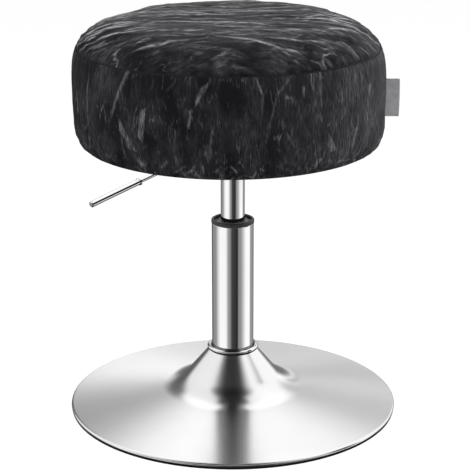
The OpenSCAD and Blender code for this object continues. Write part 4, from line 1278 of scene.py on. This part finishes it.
def make_gas_tube():
    """The gas lift's chromed tube: rolled lower lip, straight wall and tapered top."""
    low, high, outer = GAS_BOX[0].z, GAS_BOX[1].z, GAS_BOX[1].x
    top = frame_radius("gas_tube", high)
    lip, full_z = 3.5 * MM, high - 24 * MM
    neck = top - lip - TUBE_WALL
    outline = rounded([
        (outer - lip, low, 0), (outer, low, 0.5 * MM), (outer, full_z, 0),
        (top, high, 0.4 * MM), (neck, high, 0), (neck, high - TUBE_WALL, 0),
        (top - TUBE_WALL, high - TUBE_WALL, 0), (outer - TUBE_WALL, full_z, 0),
        (outer - TUBE_WALL, low + TUBE_WALL, 0), (outer - lip, low + TUBE_WALL, 0)])
    return turned("gas_lift_tube", outline, GAS_SIDES, 30)


# The stage


# Lens and soft boxes of the stage: sensor width in mm, and each lamp's place and width
SENSOR_WIDTH = 36
KEY_PLACE, KEY_WIDTH = (-1.4, -1.0, 1.5), 1.2
FILL_PLACE, FILL_WIDTH = (1.45, -0.55, 1.6), 0.9

# Greys of the studio as the metal sees it, below the level of the eye, by turn in degrees
# from the camera's side with plus to the right: soft boxes stand left and right, and a dark
# flag stands by the camera
STUDIO_LOW = [(-180, "#808080"), (-105, "#8a8a8a"), (-82, "#dcdcdc"), (-70, "#f0f0f0"),
              (-38, "#ececec"), (-26, "#989898"), (-12, "#7a7a7a"), (-6, "#404040"),
              (14, "#303030"), (27, "#282828"), (31, "#7c7c7c"), (47, "#909090"),
              (62, "#c4c4c4"), (76, "#f0f0f0"), (104, "#f4f4f4"), (114, "#909090"),
              (180, "#808080")]

# The same at the level of the eye, where the camera and its flag stand ahead
STUDIO_FRONT = [(-180, "#d8d8d8"), (-78, "#e4e4e4"), (-62, "#8c8c8c"), (-40, "#404040"),
                (-18, "#161616"), (18, "#161616"), (40, "#404040"), (62, "#8c8c8c"),
                (76, "#f0f0f0"), (180, "#f0f0f0")]

# The same above the camera and its flag
STUDIO_AHEAD = [(-180, "#d8d8d8"), (-78, "#e4e4e4"), (-50, "#c4c4c4"), (-20, "#a6a6a6"),
                (20, "#a6a6a6"), (50, "#c4c4c4"), (76, "#f0f0f0"), (180, "#f0f0f0")]

# Greys overhead by lean in degrees to the left and right: a dark gap runs between two soft
# boxes
STUDIO_HIGH = [(-90, "#e0e0e0"), (-38, "#e4e4e4"), (-30, "#8c8c8c"), (-22, "#343434"),
               (-15, "#0a0a0a"), (13, "#0a0a0a"), (19, "#404040"), (27, "#b4b4b4"),
               (34, "#f4f4f4"), (90, "#f4f4f4")]

# Greys of the wall behind the stool by rise in degrees: a dark floor line, a bright
# horizon, a grey band, and a lit ceiling
STUDIO_BACK = [(-20, "#7c7c7c"), (-5, "#505050"), (1, "#808080"), (6, "#f8f8f8"),
               (14, "#ffffff"), (21, "#bcbcbc"), (28, "#a8a8a8"), (36, "#f4f4f4"),
               (42, "#ffffff"), (58, "#ffffff"), (80, "#c0c0c0")]


def banded(tree, angle, bands):
    """A grey by direction: a ramp over an angle, whose stops are given in degrees."""
    low, high = bands[0][0], bands[-1][0]
    share = add_node(tree, "MapRange", i0=angle, i1=math.radians(low), i2=math.radians(high))
    node = add_node(tree, "ValToRGB", Fac=share)
    ramp = node.color_ramp
    ramp.elements.remove(ramp.elements[-1])
    for i, (degrees, colour) in enumerate(bands):
        place = (degrees - low) / (high - low)
        stop = ramp.elements[0] if i == 0 else ramp.elements.new(place)
        stop.position = place
        stop.color = linear(colour)
    return node


def laid_over(tree, room, colour, *limits):
    """Lays a colour over the room where all limits hold.

    A limit is an angle and two values of it in degrees: it is off at the first and holds
    at the second.
    """
    share = 1.0
    for angle, off, on in limits:
        step = add_node(tree, "MapRange", i0=angle, i1=math.radians(off), i2=math.radians(on))
        share = add_node(tree, "Math", MULTIPLY, i0=step, i1=share)
    return add_node(tree, "Mix", COLOUR, i0=share, i6=room, i7=colour)


def make_studio(settings):
    """The world: white to the camera, and a studio of soft boxes to all else."""
    world = bpy.data.worlds.new("studio")
    world.use_nodes = True
    bpy.context.scene.world = world
    tree = world.node_tree
    tree.nodes.clear()
    way = add_node(tree, "TexCoord").outputs["Generated"]
    split = add_node(tree, "SeparateXYZ", Vector=way)
    ahead = add_node(tree, "Math", MULTIPLY, i0=split.outputs["Y"], i1=-1.0)
    turn = add_node(tree, "Math", {"operation": "ARCTAN2"}, i0=split.outputs["X"], i1=ahead)
    rise = add_node(tree, "Math", {"operation": "ARCSINE"}, i0=split.outputs["Z"])
    lean = add_node(tree, "Math", {"operation": "ARCSINE"}, i0=split.outputs["X"])
    behind = add_node(tree, "Math", {"operation": "ABSOLUTE"}, i0=turn)
    # The overhead gap narrows towards the back
    narrowing = add_node(tree, "MapRange", i0=split.outputs["Y"], i1=-0.1, i2=0.3, i3=1.0,
                         i4=3.5)
    narrowed = add_node(tree, "Math", MULTIPLY, i0=lean, i1=narrowing)
    room = banded(tree, turn, STUDIO_LOW)
    room = laid_over(tree, room, banded(tree, turn, STUDIO_FRONT), (rise, -12, -9))
    room = laid_over(tree, room, banded(tree, turn, STUDIO_AHEAD), (rise, 14, 24))
    room = laid_over(tree, room, banded(tree, narrowed, STUDIO_HIGH), (rise, 39, 46))
    room = laid_over(tree, room, banded(tree, rise, STUDIO_BACK), (behind, 132, 150))
    # A dark screen stands behind the stool at the left, and a low grey one at the right
    room = laid_over(tree, room, linear("#545454"), (turn, -172, -160), (turn, -134, -144),
                     (rise, 43, 37))
    room = laid_over(tree, room, linear("#808080"), (turn, 150, 160), (rise, 8, 11),
                     (rise, 17, 14))
    # A black flag at the right gives the lever its dark line
    room = laid_over(tree, room, linear("#080808"), (turn, 68, 72), (turn, 94, 90),
                     (rise, -16, -13), (rise, 40, 37))
    # The floor is dark below the stool
    room = laid_over(tree, room, linear("#222222"), (rise, -24, -36))
    rays = add_node(tree, "LightPath")
    # What is mirrored twice, as the column is in the base, comes out dark
    dimming = add_node(tree, "MapRange", i0=rays.outputs["Glossy Depth"], i1=1.3, i2=1.7,
                       i3=1.25, i4=0.3)
    mirrored = add_node(tree, "Background", Color=room, Strength=dimming)
    # Cloth sees a studio that is darker overhead
    dimmed = laid_over(tree, linear("#c0c0c0"), linear("#4c4c4c"), (rise, 20, 75))
    plain = add_node(tree, "Background", Color=dimmed, Strength=settings.studio_strength)
    white = add_node(tree, "Background", Color=(1, 1, 1, 1), Strength=1.0)
    lit = add_node(tree, "MixShader", i0=rays.outputs["Is Glossy Ray"], i1=plain, i2=mirrored)
    mixed = add_node(tree, "MixShader", i0=rays.outputs["Is Camera Ray"], i1=lit, i2=white)
    add_node(tree, "OutputWorld", Surface=mixed)


def make_floor(settings):
    """A pale floor that takes the stool's shadow and lets metal see the studio below it."""
    bpy.ops.object.select_all(action="DESELECT")
    bpy.ops.mesh.primitive_plane_add(size=settings.floor_size)
    floor = bpy.context.object
    floor.name = "floor"
    material, tree, _ = new_material("matt_white_floor")
    tree.nodes.clear()
    rays = add_node(tree, "LightPath")
    paint = add_node(tree, "BsdfDiffuse", Color=linear("#f4f4f4"))
    white = add_node(tree, "Emission", Color=(1, 1, 1, 1), Strength=1.24)
    pale = add_node(tree, "MixShader", i0=0.72, i1=paint, i2=white)
    # The cloth above gets the light of a floor that is lit more widely than this one
    lit = add_node(tree, "MixShader", i0=0.35, i1=paint, i2=white)
    shown = add_node(tree, "MixShader", i0=rays.outputs["Is Camera Ray"], i1=lit, i2=pale)
    clear = add_node(tree, "BsdfTransparent")
    mixed = add_node(tree, "MixShader", i0=rays.outputs["Is Glossy Ray"], i1=shown, i2=clear)
    add_node(tree, "OutputMaterial", Surface=mixed)
    floor.data.materials.append(material)


def make_lamp(name, place, target, size, power):
    """A square soft box that faces a point."""
    bpy.ops.object.light_add(type="AREA", location=place)
    lamp = bpy.context.object
    lamp.name = name
    lamp.data.size = size
    lamp.data.energy = power
    lamp.rotation_euler = (Vector(target) - Vector(place)).to_track_quat("-Z", "Y").to_euler()
    # The metal mirrors the studio's soft boxes instead
    lamp.visible_glossy = False


# Operators


class STOOL_OT_materials(bpy.types.Operator):
    """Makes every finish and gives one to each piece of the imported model"""

    bl_idname = "stool.materials"
    bl_label = "Finishes"

    def execute(self, context):
        made = make_materials(context.scene)
        SLOT_MATERIALS.update({slot: material.name for slot, material in made.items()})
        slots = {part["node"]: part["material_slot"] for part in frame["record"]["subparts"]}
        for name, piece in frame["nodes"].items():
            piece.data.materials.clear()
            piece.data.materials.append(made[slots[name]])
        return {"FINISHED"}


class STOOL_OT_base(bpy.types.Operator):
    """Spins the trumpet base and its trim ring"""

    bl_idname = "stool.base"
    bl_label = "Trumpet base"

    def execute(self, context):
        settings = context.scene.stool_metal
        finish_piece(make_shell(settings), "base", "satin_chrome", "base_shell")
        ring = make_trim(settings)
        finish_piece(ring, "base", "chrome", "trim_ring")
        # Painted contact shadow along the ring's lower edges
        paint_trim_shadow(ring)
        return {"FINISHED"}


class STOOL_OT_column(bpy.types.Operator):
    """Turns the column's tube, its collar and the gas lift's tube"""

    bl_idname = "stool.column"
    bl_label = "Column"

    def execute(self, context):
        finish_piece(make_column(), "base", "chrome", "column_tube")
        finish_piece(make_collar(), "base", "dark_plastic", "collar_cap")
        finish_piece(make_gas_tube(), "seat", "chrome", "gas_tube")
        return {"FINISHED"}


class STOOL_OT_cushion(bpy.types.Operator):
    """Fills and wrinkles the velvet cushion, and stitches its seam"""

    bl_idname = "stool.cushion"
    bl_label = "Cushion"

    def execute(self, context):
        settings = context.scene.stool_cushion
        cushion = make_cushion(settings)
        finish_piece(cushion, "seat", "velvet", "cover_top", "cover_band", "wadding",
                     "foam_pad", "foam_edge")
        finish_piece(make_stitches(settings), "seat", "thread", "seam_thread")
        # The base mirrors the studio, and not the seat's black underside
        cushion.visible_glossy = False
        frame["nodes"]["seat_board"].visible_glossy = False
        return {"FINISHED"}


class STOOL_OT_trim(bpy.types.Operator):
    """Sews on the tag and staples the lining under the seat"""

    bl_idname = "stool.trim"
    bl_label = "Tag and lining"

    def execute(self, context):
        settings, cushion = context.scene.stool_trim, context.scene.stool_cushion
        tag = make_tag(settings, cushion)
        finish_piece(tag, "seat", "ribbon", "side_tag")
        lining = make_lining(settings)
        finish_piece(lining, "seat", "lining", "dust_cover")
        # The base mirrors the studio, and not the cloth under the seat
        lining.visible_glossy = False
        finish_piece(make_staples(settings), "seat", "zinc")
        return {"FINISHED"}


class STOOL_OT_stage(bpy.types.Operator):
    """Sets up the camera, the studio, the soft lamps and the floor"""

    bl_idname = "stool.stage"
    bl_label = "Studio"

    def execute(self, context):
        settings = context.scene.stool_stage
        bpy.ops.object.camera_add(
            location=(settings.camera_right, -settings.camera_distance, settings.camera_height),
            rotation=(math.pi / 2 - settings.camera_pitch, 0, 0))
        camera = context.object
        camera.data.sensor_width = SENSOR_WIDTH
        camera.data.lens = settings.focal_pixels * SENSOR_WIDTH / PHOTO_WIDTH
        context.scene.camera = camera
        make_studio(settings)
        make_floor(settings)
        middle = (0, 0, CAD_BOX[1].z / 2)
        make_lamp("key_soft_box", KEY_PLACE, middle, KEY_WIDTH, settings.key_power)
        make_lamp("fill_soft_box", FILL_PLACE, middle, FILL_WIDTH, settings.fill_power)
        context.scene.view_settings.view_transform = "Standard"
        return {"FINISHED"}


class STOOL_PT_panel(bpy.types.Panel):
    """Lists the stool's pieces in the sidebar"""

    bl_idname = "STOOL_PT_panel"
    bl_label = "Vanity stool"
    bl_space_type = "VIEW_3D"
    bl_region_type = "UI"
    bl_category = "Stool"

    def draw(self, context):
        for operator in OPERATORS:
            self.layout.operator(operator.bl_idname)


SETTINGS = {"stool_stage": StageSettings, "stool_cushion": CushionSettings,
            "stool_metal": MetalSettings, "stool_trim": TrimSettings}
OPERATORS = [STOOL_OT_stage, STOOL_OT_materials, STOOL_OT_base, STOOL_OT_column,
             STOOL_OT_trim, STOOL_OT_cushion]


def register():
    """Registers settings, operators and panel."""
    for name, kind in SETTINGS.items():
        bpy.utils.register_class(kind)
        setattr(bpy.types.Scene, name, bpy.props.PointerProperty(type=kind))
    for kind in OPERATORS + [STOOL_PT_panel]:
        bpy.utils.register_class(kind)


def unregister():
    """Takes everything away again."""
    for kind in [STOOL_PT_panel] + OPERATORS[::-1]:
        bpy.utils.unregister_class(kind)
    for name, kind in SETTINGS.items():
        delattr(bpy.types.Scene, name)
        bpy.utils.unregister_class(kind)


def main():
    """Builds the whole scene."""
    register()
    bpy.ops.stool.stage()
    bpy.ops.stool.materials()
    bpy.ops.stool.base()
    bpy.ops.stool.column()
    bpy.ops.stool.trim()
    bpy.ops.stool.cushion()


if __name__ == "__main__":
    main()
